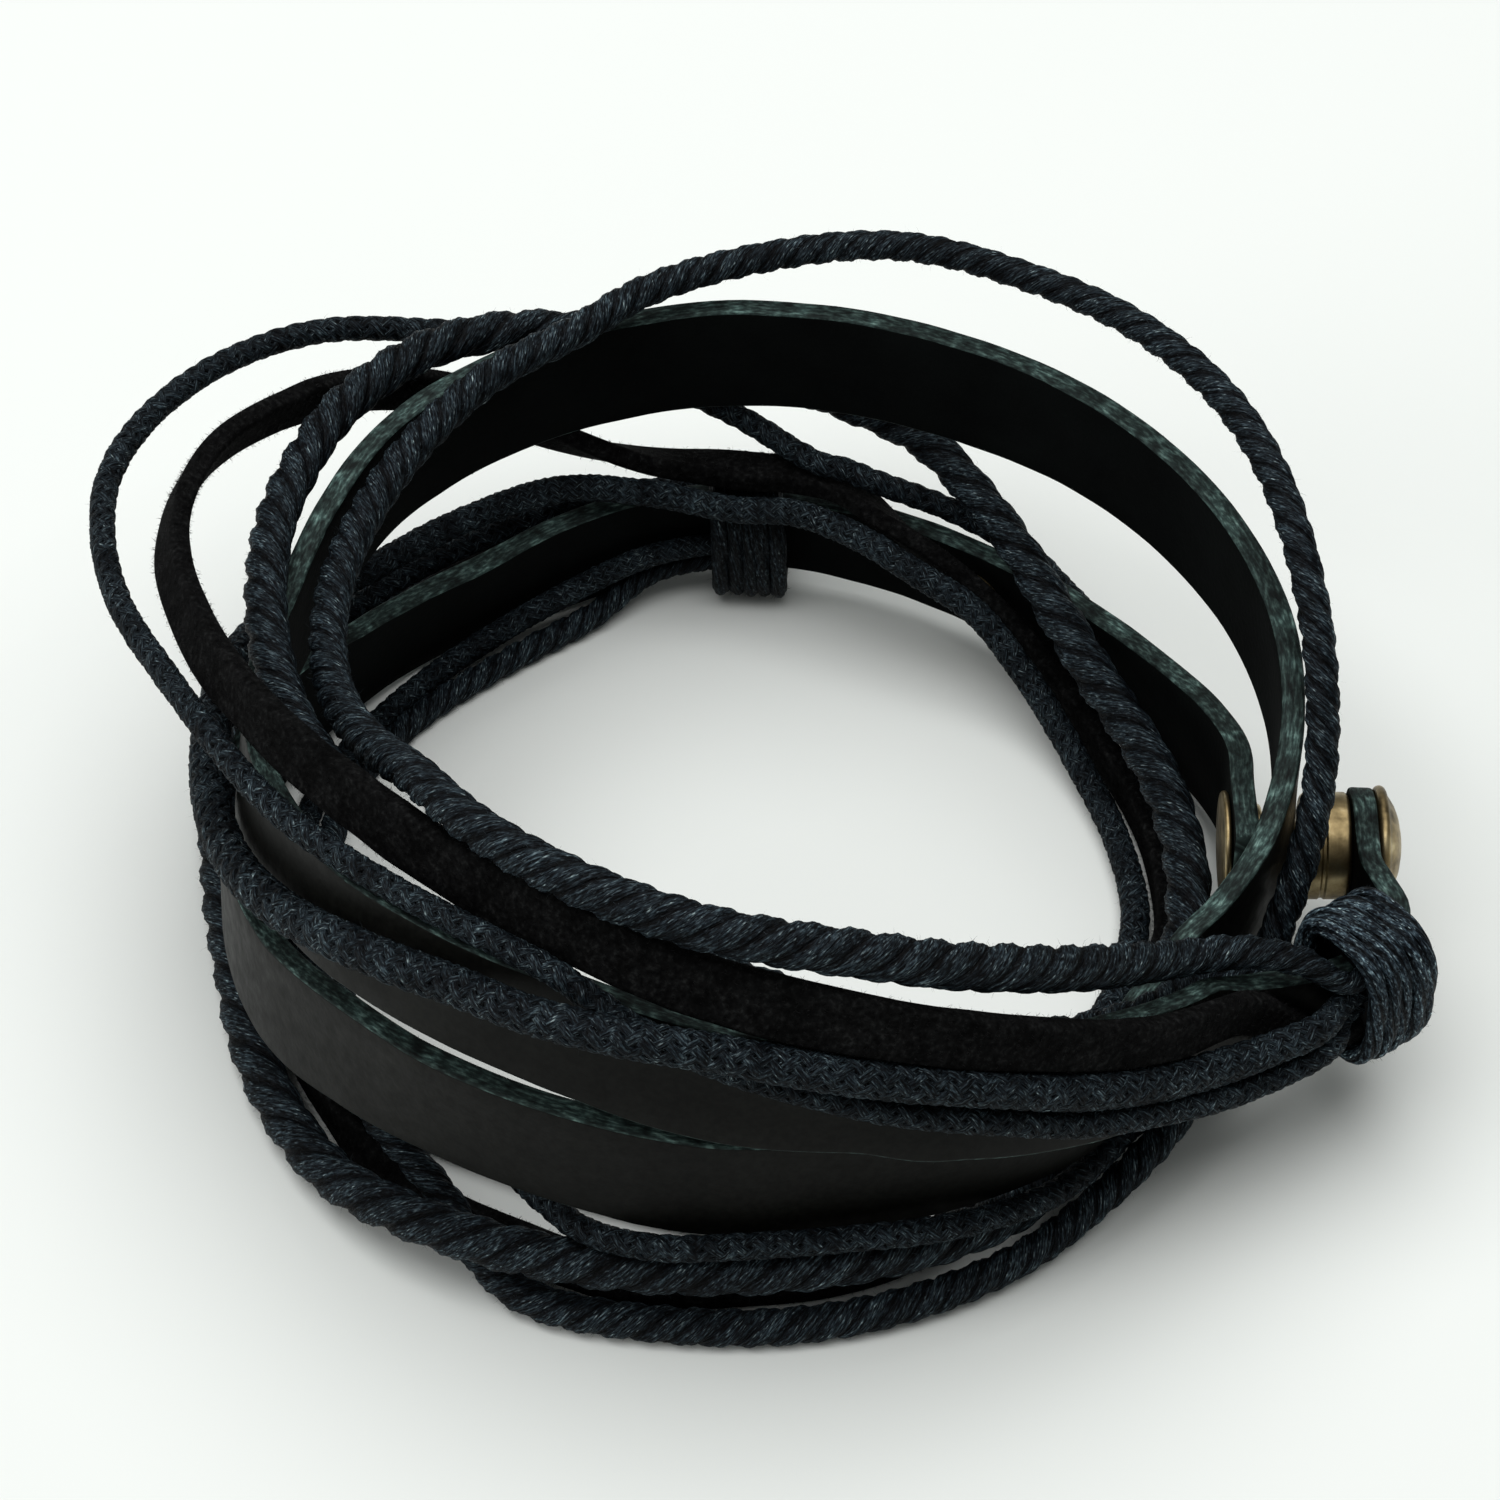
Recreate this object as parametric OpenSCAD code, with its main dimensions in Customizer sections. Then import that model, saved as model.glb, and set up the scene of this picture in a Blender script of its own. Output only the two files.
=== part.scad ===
// Layered leather bracelet: a flat strap, a suede lace and four cords, twice round the wrist.
// Two wrapped knots gather the strands, and a snap on two leather tabs closes it. Units are mm, +Z up.

/* [Leather] */

// Thickness of the flat strap
strap_thickness = 1.8; // [1.2:0.1:1.9]

// Thickness of the suede lace
lace_thickness = 1.6; // [1.2:0.1:1.8]

// Thickness of the two snap tabs
tab_thickness = 1.8; // [1.4:0.1:1.8]

/* [Cords] */

// How full the four cords are, as a share of their usual thickness
cord_fullness = 1; // [0.7:0.05:1]

/* [Knots] */

// Thickness of the cord wound round each knot
winding_thickness = 1.5; // [1.1:0.1:1.5]

/* [Snaps] */

// Diameter of the domed cap on the outside
cap_diameter = 9.2; // [8.6:0.1:10.4]

// Height of the cap's dome
cap_height = 2.1; // [1.4:0.1:2.6]

// Diameter of the socket behind the outer tab
socket_diameter = 8.2; // [7.6:0.1:8.8]

// Diameter of the spare stud's outer flange
spare_flange_diameter = 6; // [5:0.1:6.6]

/* [Hidden] */

$fn = 48;

// The wrist ring's middle lies here, measured back from the middle of the whole outline.
centre_x = 2.91;
centre_y = 0.53;
rest_height = 0.13;

leather_black = "#1b1b1d";
suede_black = "#0b0b0c";
cord_black = "#15181d";
snap_bronze = "#a5834d";

// Every route lists places along one strand. Turn 0 points to +X and grows towards -Y, so a full
// round of the wrist is 360. Both rounds start at the clasp knot and end at the inner knot.

// Columns: turn in degrees, distance from the middle, height, lean of the top edge inward, width.
strap_route = [
    [19.8, 51.2, 12.3, 0, 6.8], [23, 49.1, 12.3, 0, 6.9], [26.5, 46.2, 12.3, 0, 8],
    [32.6, 43.4, 13.3, 2, 9.6], [38.3, 42.8, 15, 5, 10], [45, 42.1, 16.6, 8, 10],
    [60, 41, 20.9, 12, 10], [67, 40.4, 22.4, 12, 10], [75, 39.3, 24, 11, 10], [90, 37.9, 25.2, 10, 10],
    [105, 36.9, 27.2, 9, 10], [120, 36.2, 27.6, 8, 10], [135, 35.9, 27, 8, 10],
    [150, 35.3, 25.2, 8, 10], [165, 34.9, 23.9, 8, 10], [180, 34.2, 23.2, 7, 10],
    [195, 33.5, 23, 5, 10], [210, 34, 23.9, 2, 10], [225, 35.6, 24.2, 0, 10], [240, 37, 24, 0, 10],
    [255, 38.3, 23.8, 0, 10], [270, 38.8, 24.3, 0, 10], [285, 39, 24.6, 0, 10],
    [300, 39.6, 24.5, -1, 10], [315, 40.8, 24.2, 0, 10], [330, 41.9, 23.6, 0, 10],
    [345, 42.7, 23, 0, 10], [355, 43.1, 22, 0, 10], [363, 43.1, 19.8, 0, 10], [369, 42.7, 17.6, 0, 10],
    [375, 42, 15.8, 0, 10], [381, 40.6, 14, 0, 10], [387, 39, 12.6, 1, 10], [395, 38.4, 11.4, 2, 10],
    [405, 39, 11.2, 2, 10], [420, 38.9, 12.6, 0, 10], [435, 38.4, 13.5, 0, 10],
    [450, 38.4, 14.5, 0, 10], [465, 38.4, 16.2, 0, 10], [480, 38, 16.4, 1, 10], [495, 37.4, 15, 5, 10],
    [510, 37.2, 12.4, 6, 10], [525, 37, 11, 4, 10], [537, 36.8, 10.4, 2, 10], [548, 36.4, 10, 0, 10],
    [560, 36.1, 9, 2, 10], [575, 35.8, 6.8, 10, 10], [595, 35.9, 5.6, 14, 10], [609, 36.6, 5.5, 6, 10],
    [619, 37.5, 5.8, 2, 9.4], [628, 38, 6.2, 0, 7.8], [633, 38, 6.2, 0, 7.6]
];

// Columns: turn in degrees, distance from the middle, height, lean of the top edge inward, width.
lace_route = [
    [21.1, 52.8, 10.8, 0, 2], [24.3, 50.6, 10.25, 0, 2], [27.8, 47.9, 12.3, 0, 3],
    [32.6, 45.7, 17, 0, 3.4], [42, 44.3, 20.2, 4, 3.6], [50, 43.1, 23.2, 7, 3.8],
    [60, 41.9, 27.2, 12, 4], [75, 39.6, 31.4, 20, 4.4], [90, 37.3, 34.1, 24, 4.6],
    [105, 34.8, 35.5, 24, 4.6], [120, 32.6, 35.1, 22, 4.6], [135, 32.2, 35.1, 20, 4.5],
    [145, 32.8, 35.2, 20, 4.3], [156, 34, 34.9, 20, 4.1], [166, 35.4, 34, 22, 4],
    [180, 38.2, 32.1, 26, 3.9], [195, 42.2, 30.7, 27, 3.8], [208, 44.2, 29.6, 24, 3.7],
    [220, 44.2, 27.6, 14, 3.6], [230, 44.3, 24.8, 5, 3.6], [241, 43.4, 20.6, 0, 3.6],
    [251, 40.7, 15.8, 30, 3.6], [261, 38.3, 13.7, 62, 3.6], [272, 37.1, 13.3, 85, 3.6],
    [280, 37.2, 13.1, 85, 3.6], [286, 37, 12.7, 75, 3.6], [292, 35.5, 12, 55, 3.6],
    [297, 34.7, 11.1, 30, 3.6], [303, 34.6, 9.4, 15, 3.6], [309, 34.8, 7.4, 8, 3.6],
    [321, 34.8, 4.2, 0, 3.6], [336, 34.6, 2.6, 0, 3.6], [351, 34.8, 2.4, 0, 3.6],
    [365, 35, 2.3, 0, 3.6], [380, 34.2, 2.3, 0, 3.6], [395, 33.7, 2.3, 0, 3.6],
    [406, 34.4, 2.3, 0, 3.6], [420, 36.8, 2.3, 0, 3.6], [432, 38, 2.2, 0, 3.6],
    [450, 38.1, 2.2, 0, 3.6], [460, 37.8, 2.1, 25, 3.6], [468, 37.1, 1.9, 60, 3.6],
    [476, 36.5, 1.4, 80, 3.6], [484, 36.4, 1.4, 80, 3.6], [492, 36.3, 1.9, 50, 3.5],
    [499, 35.7, 2.1, 15, 3.4], [506, 35.3, 2.1, 0, 3.4], [518, 34.9, 2.1, 0, 3.4],
    [531, 34.5, 2.1, 0, 3.4], [546, 36, 2.2, 0, 3.4], [560, 38.7, 2.8, 0, 3.4],
    [576, 38.6, 4.4, 0, 3.4], [594, 38.5, 5.2, 0, 3.4], [610, 38.9, 5.8, 0, 3.4], [621, 40, 6.3, 0, 3],
    [628.5, 40, 6.5, 0, 2.6], [633, 40, 6.5, 0, 2.6]
];

// Columns: turn in degrees, distance from the middle, height, cord thickness.
slim_route = [
    [21.1, 52.8, 15.9, 1.8], [24.1, 50.9, 15.9, 1.8], [24.9, 49.7, 16.7, 1.9], [26, 47.4, 18.4, 2.3],
    [28.7, 43.8, 19.6, 2.6], [33.6, 40.9, 20.8, 2.8], [42, 39.6, 24.4, 3.2], [52, 38.9, 28.6, 3.4],
    [60, 38.2, 31.5, 3.5], [75, 37, 36, 3.5], [90, 36.1, 38.8, 3.4], [105, 34.2, 40, 3.3],
    [120, 31.8, 39.6, 3.1], [135, 29.3, 37.8, 3], [150, 28.1, 34.1, 3], [165, 28, 31.2, 2.9],
    [180, 28.5, 29, 2.9], [195, 29.6, 28, 2.9], [210, 31, 28, 2.9], [225, 32.8, 28.7, 2.9],
    [240, 34.6, 30, 2.8], [252, 36, 30.6, 2.7], [262, 38.6, 31.5, 2.6], [275, 41, 32.6, 2.5],
    [290, 42, 35, 2.4], [305, 42.6, 35.7, 2.4], [320, 43.6, 36, 2.5], [335, 44.1, 35.5, 2.6],
    [350, 44.3, 33, 2.6], [360, 45, 28.5, 2.6], [368, 45.4, 23, 2.6], [373, 45, 18.4, 2.6],
    [379, 43.8, 12.4, 2.6], [385, 42.8, 8.4, 2.6], [391, 42.2, 6.2, 2.6], [398, 42, 4.4, 2.6],
    [408, 41.6, 2.6, 2.6], [416, 41.8, 2, 2.6], [425, 41.9, 1.9, 2.7], [440, 41.6, 1.6, 2.8],
    [455, 41.2, 1.6, 2.8], [468, 41, 1.6, 2.8], [475, 39.4, 2, 2.6], [481, 37.3, 3.9, 2.5],
    [487.5, 36.2, 5.4, 2.5], [495, 35.3, 6, 2.5], [503, 33.4, 4.9, 2.4], [510, 31.6, 3.8, 2.3],
    [517, 30.4, 2.5, 2.2], [529, 30, 1.4, 2.2], [543, 30.2, 1.3, 2.2], [560, 31.6, 1.3, 2.2],
    [578, 31.7, 1.3, 2.2], [596, 31.9, 1.3, 2.2], [611, 33.4, 1.5, 2.2], [621, 35.6, 3.2, 1.7],
    [628.5, 36.1, 3.9, 1.6], [633, 36.1, 3.9, 1.6]
];

// Columns: turn in degrees, distance from the middle, height, cord thickness.
thick_route = [
    [18.4, 49.6, 12.6, 2], [21.8, 47.3, 12.8, 2.1], [25.2, 43.9, 13.4, 2.5], [29.7, 41.1, 14.8, 2.6],
    [33.6, 40.5, 16.4, 2.6], [38.3, 40.2, 17.6, 2.6], [45, 38.7, 18.3, 2.9], [60, 36.8, 22.3, 3.2],
    [75, 34.8, 26.9, 3.4], [90, 33, 31, 3.4], [105, 31.3, 32.6, 3.4], [120, 30, 32.5, 3.4],
    [135, 29.8, 32, 3.4], [150, 30.5, 31, 3.4], [165, 31.5, 30.3, 3.3], [180, 32.8, 30.3, 3.3],
    [195, 34.7, 30, 3.3], [210, 37.5, 28.8, 3.3], [225, 40.2, 28.8, 3.3], [240, 41.8, 28, 3.3],
    [255, 42.2, 25, 3.3], [270, 42.2, 20.5, 3.2], [284, 42, 17.6, 3.2], [294, 41, 16.3, 3.2],
    [302, 39, 14.8, 3.2], [311, 36.9, 13.2, 3.2], [320, 35.2, 11.6, 3.4], [330, 34.5, 9.8, 3.5],
    [340, 34.8, 8.8, 3.5], [352, 35.5, 8.4, 3.5], [365, 36.4, 7.5, 3.6], [380, 36.9, 6.6, 3.6],
    [395, 36.6, 4.6, 3.6], [405, 37.4, 3.7, 3.6], [415, 39, 4, 3.6], [425, 40, 5.6, 3.6],
    [440, 40.4, 6.8, 3.6], [455, 40.2, 6.6, 3.6], [468, 40.2, 6, 3.6], [482, 40.5, 5.3, 3.6],
    [495, 39.8, 2.9, 3.6], [507, 38.8, 2.2, 3.6], [518, 38, 2, 3.6], [530, 37.5, 2, 3.6],
    [545, 38.8, 2, 3.5], [560, 41.4, 2, 3.4], [580, 41.6, 2.2, 3.4], [600, 41.7, 2.4, 3.4],
    [613, 41.6, 2.8, 3], [622, 40.8, 3.5, 2.4], [628.5, 40.2, 3.9, 2.2], [633, 40.2, 3.9, 2.2]
];

// Columns: turn in degrees, distance from the middle, height, cord thickness.
braided_route = [
    [21.1, 52.8, 14.1, 1.7], [24.3, 50.9, 14.1, 1.8], [28.7, 50.3, 14.7, 2.3], [33.1, 48.3, 15, 2.5],
    [39.2, 46.1, 15.9, 2.7], [46, 44.9, 18, 2.7], [54, 43.9, 21, 2.7], [64, 42.8, 24.9, 2.7],
    [76, 41.3, 28, 2.8], [88, 40.4, 30.6, 2.8], [98, 40.7, 32.3, 2.8], [108, 40.1, 32.3, 2.8],
    [118, 38.5, 30.8, 2.9], [131, 38.4, 29.1, 3], [145, 38.2, 25.7, 3], [160, 38, 22.2, 3],
    [172, 37.9, 20.6, 3], [184, 37.9, 20, 2.9], [198, 38.3, 18, 2.7], [212, 38.9, 14, 2.5],
    [224, 38.2, 12.4, 2.3], [237, 37.8, 12.6, 2.2], [250, 37.3, 13, 2.2], [261, 34.9, 13.1, 2.2],
    [272, 33.6, 12.2, 2.2], [281, 33.3, 12.6, 2.2], [290.5, 32.3, 12.3, 2.2], [300.6, 31.7, 11, 2.2],
    [310, 32.3, 9.2, 2.2], [319, 32.4, 6.2, 2.2], [328, 32.3, 3.7, 2.2], [337, 32.2, 2.2, 2.2],
    [350, 32.4, 1.6, 2.2], [362, 32.7, 1.5, 2.3], [375, 32.2, 1.4, 2.3], [390, 31.4, 1.4, 2.3],
    [405, 31.4, 1.4, 2.3], [420, 32, 1.4, 2.3], [435, 31.9, 1.4, 2.3], [450, 30.7, 1.4, 2.3],
    [463, 29.6, 1.4, 2.3], [475, 29.3, 1.4, 2.3], [485, 29.8, 1.4, 2.3], [495, 31.1, 1.3, 2.2],
    [506, 32.3, 1.3, 2.2], [520, 32.5, 1.3, 2.2], [535, 32.3, 1.2, 2], [548, 32.9, 1.2, 2],
    [560, 33.9, 1.2, 2], [578, 34, 1.2, 2], [594, 34, 2.2, 2], [608, 34.4, 3.8, 2],
    [620, 35.4, 5.4, 1.9], [628.5, 36.1, 5.8, 1.8], [633, 36.1, 5.8, 1.8]
];

// Columns: turn in degrees, distance from the middle, height, cord thickness.
thin_route = [
    [21.1, 52.8, 12.5, 1.2], [24.3, 51, 12.5, 1.3], [28.1, 51.1, 12.5, 1.7], [35, 48.2, 12.5, 1.8],
    [42, 46.4, 14.2, 1.8], [47, 45.5, 15.8, 1.8], [54, 44.5, 18, 1.8], [62, 43.4, 21.1, 1.8],
    [71, 42.2, 23.8, 1.8], [80, 40.8, 26.2, 1.8], [89, 39.4, 28.3, 1.8], [98, 38.6, 31.2, 1.8],
    [106, 37.3, 33.7, 1.8], [114, 36.3, 34.2, 1.8], [123, 35.7, 34.1, 1.8], [134, 35.4, 33.3, 1.8],
    [145, 35.9, 32.5, 1.8], [156, 36.8, 31.8, 1.8], [166, 38.2, 31.3, 1.8], [176, 40.7, 30.6, 1.8],
    [186, 44.5, 29.8, 1.8], [195, 47.9, 29.2, 1.8], [204, 50.8, 28.4, 1.8], [213, 52, 27.8, 1.8],
    [222, 51.7, 27.4, 1.8], [231, 49.7, 26.9, 1.8], [240, 46.5, 25.5, 1.8], [250, 44, 23.5, 1.8],
    [260, 42.6, 20, 1.8], [270, 41, 16.8, 1.8], [281, 37.4, 15.1, 1.8], [287, 36.9, 14.8, 1.8],
    [291, 36.8, 14.3, 1.8], [301, 38.8, 11.8, 1.8], [309, 40, 9.6, 1.8], [318, 40.2, 7, 1.8],
    [330, 41, 4.8, 1.8], [345, 41.6, 3.2, 1.8], [360, 41.6, 3.1, 1.8], [375, 41.6, 3, 1.8],
    [388, 40.4, 3.8, 1.8], [399, 39.7, 4.6, 1.8], [412, 40.9, 6, 1.8], [424, 41.4, 8.4, 1.8],
    [436, 41, 9.9, 1.8], [446, 40.7, 10.1, 1.8], [455, 40.7, 9.8, 1.8], [463, 39.3, 8.8, 1.8],
    [468.5, 37.4, 8.6, 1.8], [474, 36, 9.4, 1.8], [482, 35.2, 10.3, 1.8], [496, 34.4, 10.4, 1.8],
    [510, 34.3, 13.4, 1.8], [524, 34.8, 16.8, 1.8], [536, 36.6, 17.2, 1.8], [549, 38.8, 14.6, 1.8],
    [563, 38.7, 11, 1.8], [580, 38.4, 9.4, 1.8], [600, 38.4, 9.2, 1.8], [614, 39.2, 9.4, 1.7],
    [622, 40, 8.9, 1.5], [628.5, 40, 8.5, 1.3], [633, 40, 8.5, 1.3]
];

// Columns: turn in degrees, distance from the middle, height, lean of the top edge inward, width.
outer_tab_route = [
    [19, 51.7, 12.7, 0, 7.6], [16.9, 52.5, 12.7, 0, 7.4], [16, 52.6, 12.6, 0, 7.3],
    [14.3, 52.3, 12.3, 0, 7.4], [11.5, 51, 11.4, 0, 8.6], [9.2, 49.9, 11.1, 0, 9],
    [6.4, 49.5, 11, 0, 9], [2.9, 49.3, 11, 0, 9], [1.2, 49.2, 11, 0, 8.4], [-0.3, 49.2, 11, 0, 7],
    [-1.4, 49.3, 11, 0, 5], [-2, 49.3, 11, 0, 2.8]
];

// Columns: turn in degrees, distance from the middle, height, lean of the top edge inward, width.
inner_tab_route = [
    [275.6, 38, 6.2, 0, 7.6], [280, 38, 6.2, 0, 7.6], [288, 37.8, 6.3, 0, 7.8], [300, 37.5, 6.4, 0, 8],
    [312, 37.6, 6.4, 0, 8.4], [325, 38.1, 6.6, 0, 9], [338, 39, 7.6, 0, 9.6], [347, 39.8, 9, 0, 10],
    [354.3, 40.3, 10.2, 0, 10], [360, 40.1, 10.8, 0, 10], [363.6, 40.2, 11, 0, 10],
    [368.8, 40.6, 11, 0, 10]
];

// Along a strand, rings lie no further apart than this.
ring_gap = 7;
cord_sides = 8;

// The clasp knot stands on the right, its axis level. The inner knot stands at the back.
clasp_knot_place = [47.9, -17.5, 12.9];
clasp_knot_heading = 33;
clasp_knot_hollow = [3.4, 4.8];
inner_knot_place = [2.7, 38.1, 6.2];
inner_knot_heading = -4;
inner_knot_hollow = [3.4, 4.4];
knot_half_length = 3.7;
knot_sides = 28;
steps_per_winding = 4;
valley_share = 0.5;
// 2 would be an ellipse. Higher values square the bundle off.
knot_squareness = 3;

// The snap's axis runs along X, through the eyes in both tabs.
snap_y = -2.5;
snap_z = 11;
leather_eye_diameter = 2.8;
post_diameter = 2.6;
inner_tab_middle_x = 40.1;
outer_tab_middle_x = 49.2;
eye_cut_length = 8;
stud_flange = [38.6, 39.1, 8.4];
stud_collar = [41.1, 41.6, 6.4];
stud_neck_diameter = 3.4;
stud_head = [43.6, 45.9, 4.2];
socket_mouth_x = 44.6;
socket_back_x = 48.2;
socket_bore = [4.6, 1.8];
socket_lip = 0.4;
cap_back_x = 50.2;
cap_rim = 0.5;
// Columns: share of the cap's radius, share of the dome's rise above its rim.
dome_shape = [[0.84, 0.38], [0.62, 0.7], [0.34, 0.93]];

// The spare stud sits on the inner tab, nearer the inner knot.
spare_turn = 305.5;
spare_z = 6.2;
spare_tab_radius = 37.45;
spare_disc = [5, 0.5];
spare_flange_thickness = 0.6;
leather_gap = 0.1;

function blend(before, from, to, after, share) =
    from + 0.5 * share * ((to - before) + share * ((2 * before - 5 * from + 4 * to - after)
    + share * (3 * (from - to) + after - before)));

function row_of(route, i) =
    i < 0 ? 2 * route[0] - route[1]
    : i >= len(route) ? 2 * route[len(route) - 1] - route[len(route) - 2]
    : route[i];

function place_of(row) = [row[1] * cos(row[0]), -row[1] * sin(row[0]), row[2]];

function cuts_after(route, i) =
    max(1, ceil(norm(place_of(route[i + 1]) - place_of(route[i])) / ring_gap));

function smooth_rows(route) = [
    for (i = [0 : len(route) - 2])
        let (cuts = cuts_after(route, i))
        for (k = [0 : cuts - 1])
            blend(row_of(route, i - 1), route[i], route[i + 1], row_of(route, i + 2), k / cuts),
    route[len(route) - 1]
];

function unit(v) = v / norm(v);

function heading_at(rows, i) =
    unit(place_of(rows[min(i + 1, len(rows) - 1)]) - place_of(rows[max(i - 1, 0)]));

// The way a strand's width points: up, or leaning inward, square to its heading.
function width_way(row, heading, lean) =
    let (outward = [cos(row[0]), -sin(row[0]), 0],
        rough = cos(lean) * [0, 0, 1] - sin(lean) * outward)
    unit(rough - (rough * heading) * heading);

// One ring per row: the outline's corners are pairs of a place across the thickness and one up the width.
function cord_ring(rows, i) =
    let (heading = heading_at(rows, i),
        up = width_way(rows[i], heading, 0),
        side = cross(heading, up),
        radius = rows[i][3] * cord_fullness / 2)
    [for (k = [0 : cord_sides - 1])
        let (angle = 360 * (k + 0.5) / cord_sides)
        place_of(rows[i]) + radius * (cos(angle) * side + sin(angle) * up)];

function flat_ring(rows, i, thickness) =
    let (heading = heading_at(rows, i),
        up = width_way(rows[i], heading, rows[i][3]),
        side = cross(heading, up))
    [for (corner = [[1, 1], [-1, 1], [-1, -1], [1, -1]])
        place_of(rows[i]) + corner[0] * thickness / 2 * side + corner[1] * rows[i][4] / 2 * up];

// Joins rings of equal size into one closed skin with flat ends.
module skin(rings) {
    sides = len(rings[0]);
    last = len(rings) - 1;
    points = [for (ring = rings) for (p = ring) p];
    walls = [for (i = [0 : last - 1]) for (k = [0 : sides - 1])
        let (a = i * sides + k, b = i * sides + (k + 1) % sides)
        for (face = [[a, a + sides, b], [b, a + sides, b + sides]]) face];
    first_end = [for (k = [0 : sides - 1]) k];
    last_end = [for (k = [sides - 1 : -1 : 0]) last * sides + k];
    polyhedron(points, concat(walls, [first_end, last_end]), convexity = 10);
}

// Joins rings into one closed skin that comes back to its first ring, as a sleeve does.
module sleeve(rings) {
    sides = len(rings[0]);
    count = len(rings);
    points = [for (ring = rings) for (p = ring) p];
    walls = [for (i = [0 : count - 1]) for (k = [0 : sides - 1])
        let (here = i * sides, next = ((i + 1) % count) * sides, beside = (k + 1) % sides)
        for (face = [[here + k, next + k, here + beside], [here + beside, next + k, next + beside]])
            face];
    polyhedron(points, walls, convexity = 10);
}

module cord(route) {
    rows = smooth_rows(route);
    skin([for (i = [0 : len(rows) - 1]) cord_ring(rows, i)]);
}

module flat_strand(route, thickness) {
    rows = smooth_rows(route);
    skin([for (i = [0 : len(rows) - 1]) flat_ring(rows, i, thickness)]);
}

function squared(value, reach) = reach * sign(value) * pow(abs(value), 2 / knot_squareness);

function knot_ring(along, hollow, extra) = [
    for (k = [0 : knot_sides - 1])
        let (angle = 360 * k / knot_sides)
        [along, squared(cos(angle), hollow[0] + extra), squared(sin(angle), hollow[1] + extra)]
];

module knot(hollow) {
    windings = round(2 * knot_half_length / winding_thickness);
    steps = windings * steps_per_winding;
    outside = [for (i = [0 : steps])
        let (phase = i / steps_per_winding - floor(i / steps_per_winding),
            bulge = sqrt(1 - pow(2 * phase - 1, 2)),
            share = valley_share + (1 - valley_share) * bulge)
        knot_ring(knot_half_length * (2 * i / steps - 1), hollow, winding_thickness * share)];
    inside = [knot_ring(knot_half_length, hollow, 0), knot_ring(-knot_half_length, hollow, 0)];
    sleeve(concat(outside, inside));
}

// A round pin along X from one place to another.
module pin(from_x, to_x, diameter) {
    translate([from_x, 0, 0]) rotate([0, 90, 0]) cylinder(h = to_x - from_x, d = diameter);
}

module on_snap_axis() {
    translate([0, snap_y, snap_z]) children();
}

// Puts +X outward through the inner tab at the spare stud.
module on_spare_axis() {
    rotate([0, 0, -spare_turn]) translate([spare_tab_radius, 0, spare_z]) children();
}

module in_place() {
    translate([-centre_x, -centre_y, -rest_height]) children();
}

module leather_strap() {
    color(leather_black) in_place() flat_strand(strap_route, strap_thickness);
}

module suede_lace() {
    color(suede_black) in_place() flat_strand(lace_route, lace_thickness);
}

module slim_twisted_cord() {
    color(cord_black) in_place() cord(slim_route);
}

module thick_twisted_cord() {
    color(cord_black) in_place() cord(thick_route);
}

module braided_cord() {
    color(cord_black) in_place() cord(braided_route);
}

module thin_cord() {
    color(cord_black) in_place() cord(thin_route);
}

module clasp_knot() {
    color(cord_black) in_place()
        translate(clasp_knot_place) rotate([0, 0, clasp_knot_heading]) knot(clasp_knot_hollow);
}

module inner_knot() {
    color(cord_black) in_place()
        translate(inner_knot_place) rotate([0, 0, inner_knot_heading]) knot(inner_knot_hollow);
}

module outer_tab() {
    color(leather_black) in_place() difference() {
        flat_strand(outer_tab_route, tab_thickness);
        on_snap_axis()
            pin(outer_tab_middle_x - eye_cut_length / 2, outer_tab_middle_x + eye_cut_length / 2,
                leather_eye_diameter);
    }
}

module inner_tab() {
    color(leather_black) in_place() difference() {
        flat_strand(inner_tab_route, tab_thickness);
        on_snap_axis()
            pin(inner_tab_middle_x - eye_cut_length / 2, inner_tab_middle_x + eye_cut_length / 2,
                leather_eye_diameter);
        on_spare_axis() pin(-eye_cut_length / 2, eye_cut_length / 2, leather_eye_diameter);
    }
}

// Socket, post and domed cap are riveted into one piece.
module snap_cap() {
    bore_radius = socket_bore[0] / 2;
    socket_radius = socket_diameter / 2;
    post_radius = post_diameter / 2;
    cap_radius = cap_diameter / 2;
    rim_top_x = cap_back_x + cap_rim;
    top_x = cap_back_x + cap_height;
    profile = [
        [0, socket_mouth_x + socket_bore[1]],
        [bore_radius, socket_mouth_x + socket_bore[1]],
        [bore_radius, socket_mouth_x],
        [socket_radius - socket_lip, socket_mouth_x],
        [socket_radius, socket_mouth_x + socket_lip],
        [socket_radius, socket_back_x],
        [post_radius, socket_back_x],
        [post_radius, cap_back_x],
        [cap_radius - cap_rim / 2, cap_back_x],
        [cap_radius, cap_back_x + cap_rim / 2],
        [cap_radius - cap_rim / 2, rim_top_x],
        for (spot = dome_shape)
            [cap_radius * spot[0], rim_top_x + (top_x - rim_top_x) * spot[1]],
        [0, top_x]
    ];
    color(snap_bronze) in_place() on_snap_axis()
        rotate([0, 90, 0]) rotate_extrude() polygon(profile);
}

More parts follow.
